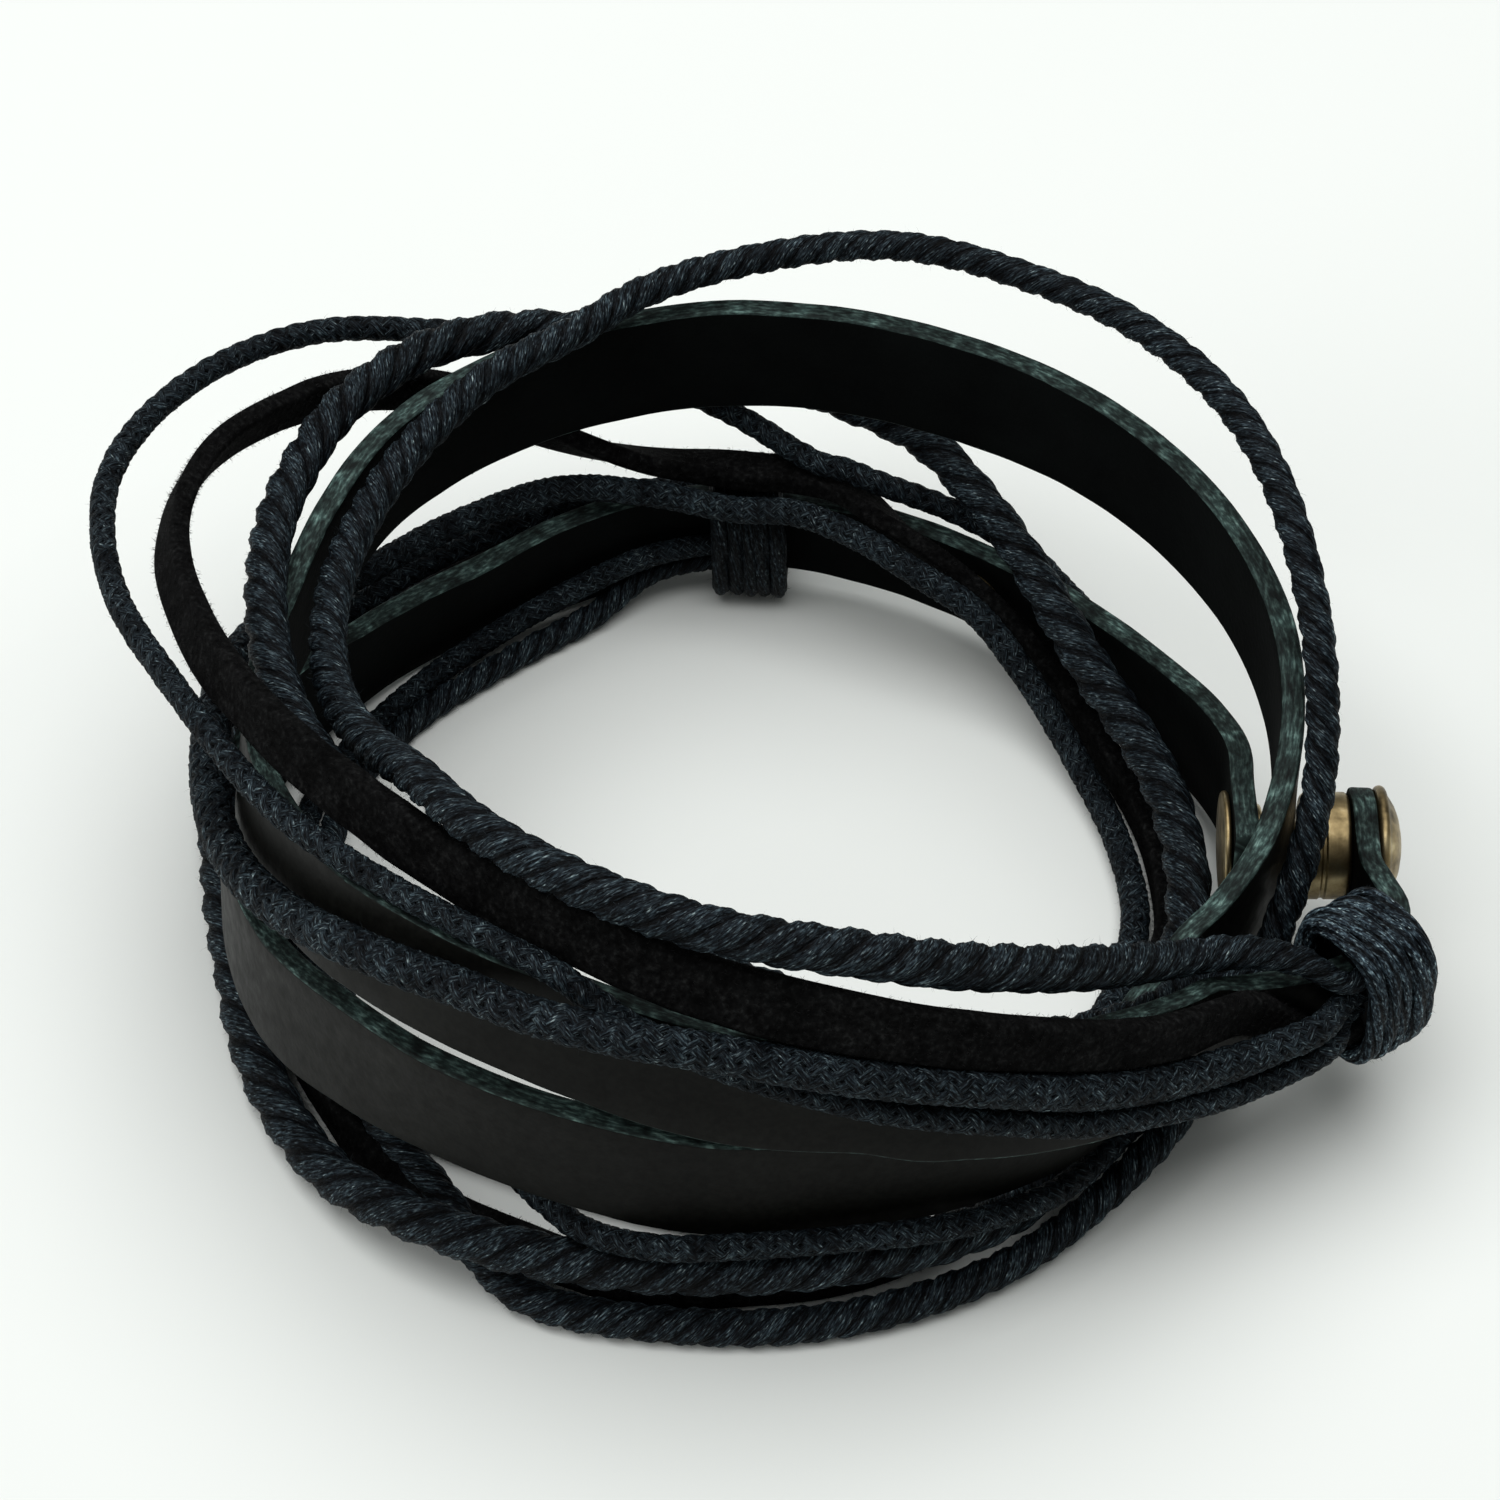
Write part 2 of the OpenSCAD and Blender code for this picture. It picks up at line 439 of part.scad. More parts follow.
// Flange, post, collar and ball head are one turned piece.
module snap_stud() {
    flange_radius = stud_flange[2] / 2;
    collar_radius = stud_collar[2] / 2;
    neck_radius = stud_neck_diameter / 2;
    head_radius = stud_head[2] / 2;
    head_middle_x = (stud_head[0] + stud_head[1]) / 2;
    profile = [
        [0, stud_flange[0]],
        [flange_radius, stud_flange[0]],
        [flange_radius, stud_flange[1]],
        [post_diameter / 2, stud_flange[1]],
        [post_diameter / 2, stud_collar[0]],
        [collar_radius, stud_collar[0]],
        [collar_radius, stud_collar[1]],
        [neck_radius, stud_collar[1]],
        [neck_radius, stud_head[0]],
        [head_radius, head_middle_x],
        [neck_radius, stud_head[1]],
        [0, stud_head[1]]
    ];
    color(snap_bronze) in_place() on_snap_axis()
        rotate([0, 90, 0]) rotate_extrude() polygon(profile);
}

module spare_stud() {
    half_leather = tab_thickness / 2 + leather_gap;
    profile = [
        [0, -half_leather - spare_disc[1]],
        [spare_disc[0] / 2, -half_leather - spare_disc[1]],
        [spare_disc[0] / 2, -half_leather],
        [post_diameter / 2, -half_leather],
        [post_diameter / 2, half_leather],
        [spare_flange_diameter / 2, half_leather],
        [spare_flange_diameter / 2, half_leather + spare_flange_thickness],
        [0, half_leather + spare_flange_thickness]
    ];
    color(snap_bronze) in_place() on_spare_axis()
        rotate([0, 90, 0]) rotate_extrude() polygon(profile);
}

leather_strap();
suede_lace();
slim_twisted_cord();
thick_twisted_cord();
braided_cord();
thin_cord();
clasp_knot();
inner_knot();
outer_tab();
inner_tab();
snap_cap();
snap_stud();
spare_stud();
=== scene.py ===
# A layered leather bracelet: a strap, a suede lace and four cords, twice round the wrist.
# Tables are in millimetres and degrees, and every mesh is made in metres.
import math
from typing import NamedTuple

import bmesh
import bpy
import numpy as np
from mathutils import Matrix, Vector


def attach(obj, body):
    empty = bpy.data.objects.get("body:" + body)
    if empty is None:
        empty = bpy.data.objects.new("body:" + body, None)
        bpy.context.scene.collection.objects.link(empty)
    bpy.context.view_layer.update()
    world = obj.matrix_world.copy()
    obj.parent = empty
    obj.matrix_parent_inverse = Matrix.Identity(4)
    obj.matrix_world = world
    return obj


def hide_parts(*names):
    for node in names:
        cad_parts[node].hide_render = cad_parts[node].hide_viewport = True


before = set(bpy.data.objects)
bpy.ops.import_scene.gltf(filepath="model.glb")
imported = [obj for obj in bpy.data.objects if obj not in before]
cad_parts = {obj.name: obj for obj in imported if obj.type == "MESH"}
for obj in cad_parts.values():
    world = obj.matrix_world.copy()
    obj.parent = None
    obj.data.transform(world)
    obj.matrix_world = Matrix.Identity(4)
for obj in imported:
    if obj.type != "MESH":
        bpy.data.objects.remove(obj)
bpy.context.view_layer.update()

MM = 0.001
FULL_TURN = 2 * np.pi
LEVEL_UP = np.array([0, 0, 1.0])

# The wrist ring's middle lies here, measured from the middle of the whole outline on the table.
RING_MIDDLE = np.array([-2.91, -0.53, -0.13])
STRAP_THICKNESS = 1.8
LACE_THICKNESS = 1.6
TAB_THICKNESS = 1.8

# Each route has a row for each place along the strand. Turn 0 points to +X and grows towards -Y.
# Distance is from the ring's middle, and lean tips the top edge inward.
# Columns: turn, distance, height, lean, width.
STRAP_ROUTE = [
    (19.8, 51.2, 12.3, 0, 6.8), (23, 49.1, 12.3, 0, 6.9), (26.5, 46.2, 12.3, 0, 8),
    (32.6, 43.4, 13.3, 2, 9.6), (38.3, 42.8, 15, 5, 10), (45, 42.1, 16.6, 8, 10),
    (60, 41, 20.9, 12, 10), (67, 40.4, 22.4, 12, 10), (75, 39.3, 24, 11, 10), (90, 37.9, 25.2, 10, 10),
    (105, 36.9, 27.2, 9, 10), (120, 36.2, 27.6, 8, 10), (135, 35.9, 27, 8, 10),
    (150, 35.3, 25.2, 8, 10), (165, 34.9, 23.9, 8, 10), (180, 34.2, 23.2, 7, 10),
    (195, 33.5, 23, 5, 10), (210, 34, 23.9, 2, 10), (225, 35.6, 24.2, 0, 10), (240, 37, 24, 0, 10),
    (255, 38.3, 23.8, 0, 10), (270, 38.8, 24.3, 0, 10), (285, 39, 24.6, 0, 10),
    (300, 39.6, 24.5, -1, 10), (315, 40.8, 24.2, 0, 10), (330, 41.9, 23.6, 0, 10),
    (345, 42.7, 23, 0, 10), (355, 43.1, 22, 0, 10), (363, 43.1, 19.8, 0, 10), (369, 42.7, 17.6, 0, 10),
    (375, 42, 15.8, 0, 10), (381, 40.6, 14, 0, 10), (387, 39, 12.6, 1, 10), (395, 38.4, 11.4, 2, 10),
    (405, 39, 11.2, 2, 10), (420, 38.9, 12.6, 0, 10), (435, 38.4, 13.5, 0, 10),
    (450, 38.4, 14.5, 0, 10), (465, 38.4, 16.2, 0, 10), (480, 38, 16.4, 1, 10), (495, 37.4, 15, 5, 10),
    (510, 37.2, 12.4, 6, 10), (525, 37, 11, 4, 10), (537, 36.8, 10.4, 2, 10), (548, 36.4, 10, 0, 10),
    (560, 36.1, 9, 2, 10), (575, 35.8, 6.8, 10, 10), (595, 35.9, 5.6, 14, 10), (609, 36.6, 5.5, 6, 10),
    (619, 37.5, 5.8, 2, 9.4), (628, 38, 6.2, 0, 7.8), (633, 38, 6.2, 0, 7.6),
]

# Columns: turn, distance, height, lean, width.
LACE_ROUTE = [
    (21.1, 52.8, 10.8, 0, 2), (24.3, 50.6, 10.25, 0, 2), (27.8, 47.9, 12.3, 0, 3),
    (32.6, 45.7, 17, 0, 3.4), (42, 44.3, 20.2, 4, 3.6), (50, 43.1, 23.2, 7, 3.8),
    (60, 41.9, 27.2, 12, 4), (75, 39.6, 31.4, 20, 4.4), (90, 37.3, 34.1, 24, 4.6),
    (105, 34.8, 35.5, 24, 4.6), (120, 32.6, 35.1, 22, 4.6), (135, 32.2, 35.1, 20, 4.5),
    (145, 32.8, 35.2, 20, 4.3), (156, 34, 34.9, 20, 4.1), (166, 35.4, 34, 22, 4),
    (180, 38.2, 32.1, 26, 3.9), (195, 42.2, 30.7, 27, 3.8), (208, 44.2, 29.6, 24, 3.7),
    (220, 44.2, 27.6, 14, 3.6), (230, 44.3, 24.8, 5, 3.6), (241, 43.4, 20.6, 0, 3.6),
    (251, 40.7, 15.8, 30, 3.6), (261, 38.3, 13.7, 62, 3.6), (272, 37.1, 13.3, 85, 3.6),
    (280, 37.2, 13.1, 85, 3.6), (286, 37, 12.7, 75, 3.6), (292, 35.5, 12, 55, 3.6),
    (297, 34.7, 11.1, 30, 3.6), (303, 34.6, 9.4, 15, 3.6), (309, 34.8, 7.4, 8, 3.6),
    (321, 34.8, 4.2, 0, 3.6), (336, 34.6, 2.6, 0, 3.6), (351, 34.8, 2.4, 0, 3.6),
    (365, 35, 2.3, 0, 3.6), (380, 34.2, 2.3, 0, 3.6), (395, 33.7, 2.3, 0, 3.6),
    (406, 34.4, 2.3, 0, 3.6), (420, 36.8, 2.3, 0, 3.6), (432, 38, 2.2, 0, 3.6),
    (450, 38.1, 2.2, 0, 3.6), (460, 37.8, 2.1, 25, 3.6), (468, 37.1, 1.9, 60, 3.6),
    (476, 36.5, 1.4, 80, 3.6), (484, 36.4, 1.4, 80, 3.6), (492, 36.3, 1.9, 50, 3.5),
    (499, 35.7, 2.1, 15, 3.4), (506, 35.3, 2.1, 0, 3.4), (518, 34.9, 2.1, 0, 3.4),
    (531, 34.5, 2.1, 0, 3.4), (546, 36, 2.2, 0, 3.4), (560, 38.7, 2.8, 0, 3.4),
    (576, 38.6, 4.4, 0, 3.4), (594, 38.5, 5.2, 0, 3.4), (610, 38.9, 5.8, 0, 3.4), (621, 40, 6.3, 0, 3),
    (628.5, 40, 6.5, 0, 2.6), (633, 40, 6.5, 0, 2.6),
]

# Columns: turn, distance, height, thickness.
SLIM_ROUTE = [
    (21.1, 52.8, 15.9, 1.8), (24.1, 50.9, 15.9, 1.8), (24.9, 49.7, 16.7, 1.9), (26, 47.4, 18.4, 2.3),
    (28.7, 43.8, 19.6, 2.6), (33.6, 40.9, 20.8, 2.8), (42, 39.6, 24.4, 3.2), (52, 38.9, 28.6, 3.4),
    (60, 38.2, 31.5, 3.5), (75, 37, 36, 3.5), (90, 36.1, 38.8, 3.4), (105, 34.2, 40, 3.3),
    (120, 31.8, 39.6, 3.1), (135, 29.3, 37.8, 3), (150, 28.1, 34.1, 3), (165, 28, 31.2, 2.9),
    (180, 28.5, 29, 2.9), (195, 29.6, 28, 2.9), (210, 31, 28, 2.9), (225, 32.8, 28.7, 2.9),
    (240, 34.6, 30, 2.8), (252, 36, 30.6, 2.7), (262, 38.6, 31.5, 2.6), (275, 41, 32.6, 2.5),
    (290, 42, 35, 2.4), (305, 42.6, 35.7, 2.4), (320, 43.6, 36, 2.5), (335, 44.1, 35.5, 2.6),
    (350, 44.3, 33, 2.6), (360, 45, 28.5, 2.6), (368, 45.4, 23, 2.6), (373, 45, 18.4, 2.6),
    (379, 43.8, 12.4, 2.6), (385, 42.8, 8.4, 2.6), (391, 42.2, 6.2, 2.6), (398, 42, 4.4, 2.6),
    (408, 41.6, 2.6, 2.6), (416, 41.8, 2, 2.6), (425, 41.9, 1.9, 2.7), (440, 41.6, 1.6, 2.8),
    (455, 41.2, 1.6, 2.8), (468, 41, 1.6, 2.8), (475, 39.4, 2, 2.6), (481, 37.3, 3.9, 2.5),
    (487.5, 36.2, 5.4, 2.5), (495, 35.3, 6, 2.5), (503, 33.4, 4.9, 2.4), (510, 31.6, 3.8, 2.3),
    (517, 30.4, 2.5, 2.2), (529, 30, 1.4, 2.2), (543, 30.2, 1.3, 2.2), (560, 31.6, 1.3, 2.2),
    (578, 31.7, 1.3, 2.2), (596, 31.9, 1.3, 2.2), (611, 33.4, 1.5, 2.2), (621, 35.6, 3.2, 1.7),
    (628.5, 36.1, 3.9, 1.6), (633, 36.1, 3.9, 1.6),
]

# Columns: turn, distance, height, thickness.
THICK_ROUTE = [
    (18.4, 49.6, 12.6, 2), (21.8, 47.3, 12.8, 2.1), (25.2, 43.9, 13.4, 2.5), (29.7, 41.1, 14.8, 2.6),
    (33.6, 40.5, 16.4, 2.6), (38.3, 40.2, 17.6, 2.6), (45, 38.7, 18.3, 2.9), (60, 36.8, 22.3, 3.2),
    (75, 34.8, 26.9, 3.4), (90, 33, 31, 3.4), (105, 31.3, 32.6, 3.4), (120, 30, 32.5, 3.4),
    (135, 29.8, 32, 3.4), (150, 30.5, 31, 3.4), (165, 31.5, 30.3, 3.3), (180, 32.8, 30.3, 3.3),
    (195, 34.7, 30, 3.3), (210, 37.5, 28.8, 3.3), (225, 40.2, 28.8, 3.3), (240, 41.8, 28, 3.3),
    (255, 42.2, 25, 3.3), (270, 42.2, 20.5, 3.2), (284, 42, 17.6, 3.2), (294, 41, 16.3, 3.2),
    (302, 39, 14.8, 3.2), (311, 36.9, 13.2, 3.2), (320, 35.2, 11.6, 3.4), (330, 34.5, 9.8, 3.5),
    (340, 34.8, 8.8, 3.5), (352, 35.5, 8.4, 3.5), (365, 36.4, 7.5, 3.6), (380, 36.9, 6.6, 3.6),
    (395, 36.6, 4.6, 3.6), (405, 37.4, 3.7, 3.6), (415, 39, 4, 3.6), (425, 40, 5.6, 3.6),
    (440, 40.4, 6.8, 3.6), (455, 40.2, 6.6, 3.6), (468, 40.2, 6, 3.6), (482, 40.5, 5.3, 3.6),
    (495, 39.8, 2.9, 3.6), (507, 38.8, 2.2, 3.6), (518, 38, 2, 3.6), (530, 37.5, 2, 3.6),
    (545, 38.8, 2, 3.5), (560, 41.4, 2, 3.4), (580, 41.6, 2.2, 3.4), (600, 41.7, 2.4, 3.4),
    (613, 41.6, 2.8, 3), (622, 40.8, 3.5, 2.4), (628.5, 40.2, 3.9, 2.2), (633, 40.2, 3.9, 2.2),
]

# Columns: turn, distance, height, thickness.
BRAIDED_ROUTE = [
    (21.1, 52.8, 14.1, 1.7), (24.3, 50.9, 14.1, 1.8), (28.7, 50.3, 14.7, 2.3), (33.1, 48.3, 15, 2.5),
    (39.2, 46.1, 15.9, 2.7), (46, 44.9, 18, 2.7), (54, 43.9, 21, 2.7), (64, 42.8, 24.9, 2.7),
    (76, 41.3, 28, 2.8), (88, 40.4, 30.6, 2.8), (98, 40.7, 32.3, 2.8), (108, 40.1, 32.3, 2.8),
    (118, 38.5, 30.8, 2.9), (131, 38.4, 29.1, 3), (145, 38.2, 25.7, 3), (160, 38, 22.2, 3),
    (172, 37.9, 20.6, 3), (184, 37.9, 20, 2.9), (198, 38.3, 18, 2.7), (212, 38.9, 14, 2.5),
    (224, 38.2, 12.4, 2.3), (237, 37.8, 12.6, 2.2), (250, 37.3, 13, 2.2), (261, 34.9, 13.1, 2.2),
    (272, 33.6, 12.2, 2.2), (281, 33.3, 12.6, 2.2), (290.5, 32.3, 12.3, 2.2), (300.6, 31.7, 11, 2.2),
    (310, 32.3, 9.2, 2.2), (319, 32.4, 6.2, 2.2), (328, 32.3, 3.7, 2.2), (337, 32.2, 2.2, 2.2),
    (350, 32.4, 1.6, 2.2), (362, 32.7, 1.5, 2.3), (375, 32.2, 1.4, 2.3), (390, 31.4, 1.4, 2.3),
    (405, 31.4, 1.4, 2.3), (420, 32, 1.4, 2.3), (435, 31.9, 1.4, 2.3), (450, 30.7, 1.4, 2.3),
    (463, 29.6, 1.4, 2.3), (475, 29.3, 1.4, 2.3), (485, 29.8, 1.4, 2.3), (495, 31.1, 1.3, 2.2),
    (506, 32.3, 1.3, 2.2), (520, 32.5, 1.3, 2.2), (535, 32.3, 1.2, 2), (548, 32.9, 1.2, 2),
    (560, 33.9, 1.2, 2), (578, 34, 1.2, 2), (594, 34, 2.2, 2), (608, 34.4, 3.8, 2),
    (620, 35.4, 5.4, 1.9), (628.5, 36.1, 5.8, 1.8), (633, 36.1, 5.8, 1.8),
]

# Columns: turn, distance, height, thickness.
THIN_ROUTE = [
    (21.1, 52.8, 12.5, 1.2), (24.3, 51, 12.5, 1.3), (28.1, 51.1, 12.5, 1.7), (35, 48.2, 12.5, 1.8),
    (42, 46.4, 14.2, 1.8), (47, 45.5, 15.8, 1.8), (54, 44.5, 18, 1.8), (62, 43.4, 21.1, 1.8),
    (71, 42.2, 23.8, 1.8), (80, 40.8, 26.2, 1.8), (89, 39.4, 28.3, 1.8), (98, 38.6, 31.2, 1.8),
    (106, 37.3, 33.7, 1.8), (114, 36.3, 34.2, 1.8), (123, 35.7, 34.1, 1.8), (134, 35.4, 33.3, 1.8),
    (145, 35.9, 32.5, 1.8), (156, 36.8, 31.8, 1.8), (166, 38.2, 31.3, 1.8), (176, 40.7, 30.6, 1.8),
    (186, 44.5, 29.8, 1.8), (195, 47.9, 29.2, 1.8), (204, 50.8, 28.4, 1.8), (213, 52, 27.8, 1.8),
    (222, 51.7, 27.4, 1.8), (231, 49.7, 26.9, 1.8), (240, 46.5, 25.5, 1.8), (250, 44, 23.5, 1.8),
    (260, 42.6, 20, 1.8), (270, 41, 16.8, 1.8), (281, 37.4, 15.1, 1.8), (287, 36.9, 14.8, 1.8),
    (291, 36.8, 14.3, 1.8), (301, 38.8, 11.8, 1.8), (309, 40, 9.6, 1.8), (318, 40.2, 7, 1.8),
    (330, 41, 4.8, 1.8), (345, 41.6, 3.2, 1.8), (360, 41.6, 3.1, 1.8), (375, 41.6, 3, 1.8),
    (388, 40.4, 3.8, 1.8), (399, 39.7, 4.6, 1.8), (412, 40.9, 6, 1.8), (424, 41.4, 8.4, 1.8),
    (436, 41, 9.9, 1.8), (446, 40.7, 10.1, 1.8), (455, 40.7, 9.8, 1.8), (463, 39.3, 8.8, 1.8),
    (468.5, 37.4, 8.6, 1.8), (474, 36, 9.4, 1.8), (482, 35.2, 10.3, 1.8), (496, 34.4, 10.4, 1.8),
    (510, 34.3, 13.4, 1.8), (524, 34.8, 16.8, 1.8), (536, 36.6, 17.2, 1.8), (549, 38.8, 14.6, 1.8),
    (563, 38.7, 11, 1.8), (580, 38.4, 9.4, 1.8), (600, 38.4, 9.2, 1.8), (614, 39.2, 9.4, 1.7),
    (622, 40, 8.9, 1.5), (628.5, 40, 8.5, 1.3), (633, 40, 8.5, 1.3),
]

# Columns: turn, distance, height, lean, width.
OUTER_TAB_ROUTE = [
    (19, 51.7, 12.7, 0, 7.6), (16.9, 52.5, 12.7, 0, 7.4), (16, 52.6, 12.6, 0, 7.3),
    (14.3, 52.3, 12.3, 0, 7.4), (11.5, 51, 11.4, 0, 8.6), (9.2, 49.9, 11.1, 0, 9),
    (6.4, 49.5, 11, 0, 9), (2.9, 49.3, 11, 0, 9), (1.2, 49.2, 11, 0, 8.4), (-0.3, 49.2, 11, 0, 7),
    (-1.4, 49.3, 11, 0, 5), (-2, 49.3, 11, 0, 2.8),
]

# Columns: turn, distance, height, lean, width.
INNER_TAB_ROUTE = [
    (275.6, 38, 6.2, 0, 7.6), (280, 38, 6.2, 0, 7.6), (288, 37.8, 6.3, 0, 7.8), (300, 37.5, 6.4, 0, 8),
    (312, 37.6, 6.4, 0, 8.4), (325, 38.1, 6.6, 0, 9), (338, 39, 7.6, 0, 9.6), (347, 39.8, 9, 0, 10),
    (354.3, 40.3, 10.2, 0, 10), (360, 40.1, 10.8, 0, 10), (363.6, 40.2, 11, 0, 10),
    (368.8, 40.6, 11, 0, 10),
]

# A knot has its middle, the heading of its axis, and half its hollow across and up. Its turns bow
# along the axis on the side they face, which is in degrees from across towards up.
CLASP_KNOT = {"place": (47.9, -17.5, 12.9), "heading": 33, "hollow": (3.4, 4.8), "bow": 0.7}
INNER_KNOT = {"place": (2.7, 38.1, 6.2), "heading": -4, "hollow": (3.4, 4.4), "bow": 0.2}
KNOT_FACING = 150
KNOT_TURNS = 5
KNOT_PITCH = 1.17
KNOT_CORD_RADIUS = 0.75
KNOT_STEP = 0.16
STEPS_PER_KNOT_TURN = 360
KNOT_SMOOTHING = 6
# 2 would wind an ellipse. Higher values square the bundle off.
KNOT_SQUARENESS = 3
# Both ends of the winding sink this far, over this angle in radians.
KNOT_TUCK_DEPTH = 1.7
KNOT_TUCK_ANGLE = 0.9
# The tucked thread is this long, and reaches this far into the winding.
KNOT_FILL_LENGTH = 3.2
KNOT_FILL_GRIP = 0.5
KNOT_FILL_STEPS = 5

# The snap's axis runs along X, through this place.
SNAP_AXIS = np.array([0, -2.5, 11])
SPARE_STUD = {"turn": 305.5, "radius": 37.45, "height": 6.2}

# Turned profiles. Columns: radius and place along the axis. A round corner gives its middle, its
# reach, the angles where it starts and ends, and its number of points.
SNAP_CAP_PROFILE = [
    (0, 46.4), (2.0, 46.4), (2.3, 46.1), (2.3, 44.9), (2.6, 44.9, 0.3, 180, 270, 5),
    (3.6, 45.1, 0.5, 270, 360, 7), (4.1, 45.9), (3.98, 46.05), (3.98, 46.25), (4.1, 46.4),
    (4.1, 47.7), (3.75, 47.85, 0.35, 0, 90, 5), (1.3, 48.2), (1.3, 50.2), (4.1, 50.2),
    (4.15, 50.65, 0.45, -90, 90, 10), (4.0, 51.12), (3.7, 51.35), (3.1, 51.72), (2.3, 52.02),
    (1.3, 52.22), (0.5, 52.29), (0, 52.3),
]
SNAP_STUD_PROFILE = [
    (0, 38.6), (3.7, 38.6), (3.95, 38.85, 0.25, -90, 90, 8), (1.3, 39.1), (1.3, 41.1),
    (2.9, 41.1), (2.95, 41.35, 0.25, -90, 90, 8), (1.9, 41.6), (1.7, 41.9), (1.65, 43.6),
    (1.0, 44.75, 1.1, -60, 60, 9), (1.3, 45.85), (0, 45.9),
]
SPARE_STUD_PROFILE = [
    (0, -1.5), (2.2, -1.5), (2.28, -1.25, 0.22, -90, 90, 7), (1.3, -1.0), (1.3, 1.0),
    (2.7, 1.0), (2.72, 1.28, 0.28, -90, 90, 7), (1.6, 1.6), (0, 1.6),
]
SPINS = 72
CRISP_ANGLE = 38
# Points closer than this, in metres, are one point.
SAME_PLACE = 1e-7

# Material slots of the flat strands and of the cords.
GRAIN, FLESH, EDGE, LEATHER_HAIR = range(4)
CORD_BODY, CORD_HAIR = range(2)

CUTS_PER_ROW = 24

# Fibres: how far root, ribbon and tip stray, the shortest one's share of the length, and the taper.
ROOT_STRAY = 0.35
RIBBON_STRAY = 0.3
TIP_STRAY = 0.45
SHORTEST_FIBRE = 0.35
FIBRE_TAPER = 0.8
FIBRE_POINTS = 5
FIBRE_CORNERS = 7
CORD_FIBRE_WIDTH = 0.022
LEATHER_FIBRE_WIDTH = 0.03
LONG_FIBRES_ONE_IN = 6

# Where fibres are rooted, as shares of a flat strand's width and thickness, and of a cord's radius.
EDGE_ROOT = {"up": 0.495, "across": 0.4}
FACE_ROOT = {"up": 0.47, "across": 0.48}
CORD_ROOT = 0.86
EDGE_FIBRE_SHARE = 0.35

# Corners of a flat section. Columns: which way it lies, across and up, and where its arc starts.
# A face follows each corner whose two signs differ.
SECTION_CORNERS = [(1, 1, 0), (-1, 1, 90), (-1, -1, 180), (1, -1, 270)]
CORNER_STEPS = 4
FACE_STEPS = 6
FACE_DEPTH = 0.05
LEATHER_CORNER = 0.32
SUEDE_CORNER = 0.42

# Wanders: how far something strays, and over what length. The knot's lengths are in its own steps.
WIDTH_WANDER = (0.12, 2.5)
LEATHER_WANDER = (0.04, 5)
SUEDE_WANDER = (0.07, 5)
LAY_WANDER = (0.12, 14)
PLY_SWELL = (0.05, 3.5)
BRAID_WANDER = (0.1, 9)
CARRIER_SWAY = (0.05, 2)
CARRIER_SWELL = (0.12, 1.5)
KNOT_LIFT_WANDER = (0.12, 50)
KNOT_SIDE_WANDER = (0.2, 60)

# Twisted cords: the ridges of yarn on a ply, and how far out the plies reach as a share.
YARNS_PER_PLY = 5
YARN_RIDGE = 0.05
YARN_TURN = -1.1
PLY_REACH = 1.01

# Braided cords: shares of the cord's radius, and how flat a strand of the braid is.
CORE_SHARE = 0.8
CARRIER_FILL = 0.8
CARRIER_REACH = 0.78
CARRIER_LIFT = 0.06
CARRIER_FLATNESS = 0.5

# Places across a ply or a braid's strand where the crease begins, and over what width it deepens.
# The cord materials paint the crease as shade, darker the deeper it lies.
PLY_CREASE_FROM = 0.8
PLY_CREASE_WIDTH = 0.7
CARRIER_CREASE_FROM = 0.5
CARRIER_CREASE_WIDTH = 0.9

# Added to a strand's seed, so that its lay, its sway and its fibres have draws of their own.
LAY_DRAWS = 40
FUZZ_DRAWS = 50
SWAY_DRAWS = 60
LONG_FUZZ_DRAWS = 80

# Columns: node, route, lead and ply thickness as shares of the cord's, step, loose fibres, seed.
TWISTED_CORDS = [
    ("slim_twisted_cord", SLIM_ROUTE, 2.8, 0.74, 0.32, 6000, 21),
    ("thick_twisted_cord", THICK_ROUTE, 3.1, 0.70, 0.38, 6000, 22),
]

# Columns: node, route, strands each way, lead as a share of the thickness, step, loose fibres, seed.
BRAIDED_CORDS = [
    ("braided_cord", BRAIDED_ROUTE, 6, 3.7, 0.38, 5000, 23),
    ("thin_cord", THIN_ROUTE, 4, 3.7, 0.33, 4000, 24),
]

# Noise seldom leaves this range.
NOISE_RANGE = {"From Min": 0.3, "From Max": 0.7}
NOISE_ROUGHNESS = 0.55
# Sockets of a colour mix.
MIX_FIRST, MIX_SECOND, MIX_RESULT = 6, 7, 2
# The painted glints run this many degrees off the fibres.
GLINT_TURN = 8
PALER_FIBRE = 2.2

# Columns: name, place, what it faces, width, power. These are in metres and watts.
LIGHTS = [
    ("overhead", (-0.03, 0.07, 0.66), (0, 0, 0.02), 1.0, 5.85),
    ("left_window", (-1.80, -0.75, 0.86), (0, 0, 0.02), 1.2, 13.0),
]

# The photograph's view: this many degrees down, from this far in millimetres, on a long lens.
ELEVATION = 46
CAMERA_DISTANCE = 400
RIGHT_OF_RING = 2.73
ABOVE_RING = 13.125


def blend(before, start, end, after, share):
    """A smooth value between start and end."""
    return start + 0.5 * share * ((end - before) + share * (
        (2 * before - 5 * start + 4 * end - after) + share * (3 * (start - end) + after - before)))


def places(rows):
    """Where rows of turn, distance and height lie, in millimetres."""
    turn = np.radians(rows[:, 0])
    flat = np.stack([rows[:, 1] * np.cos(turn), -rows[:, 1] * np.sin(turn), rows[:, 2]], 1)
    return flat + RING_MIDDLE


def unit(vectors):
    return vectors / np.linalg.norm(vectors, axis=1)[:, None]


def spaced(rows, points, step):
    """Rows at even steps along their points, and how far along each one lies."""
    reach = np.concatenate([[0], np.cumsum(np.linalg.norm(np.diff(points, axis=0), axis=1))])
    along = np.linspace(0, reach[-1], int(reach[-1] / step) + 2)
    return np.stack([np.interp(along, reach, column) for column in rows.T], 1), along


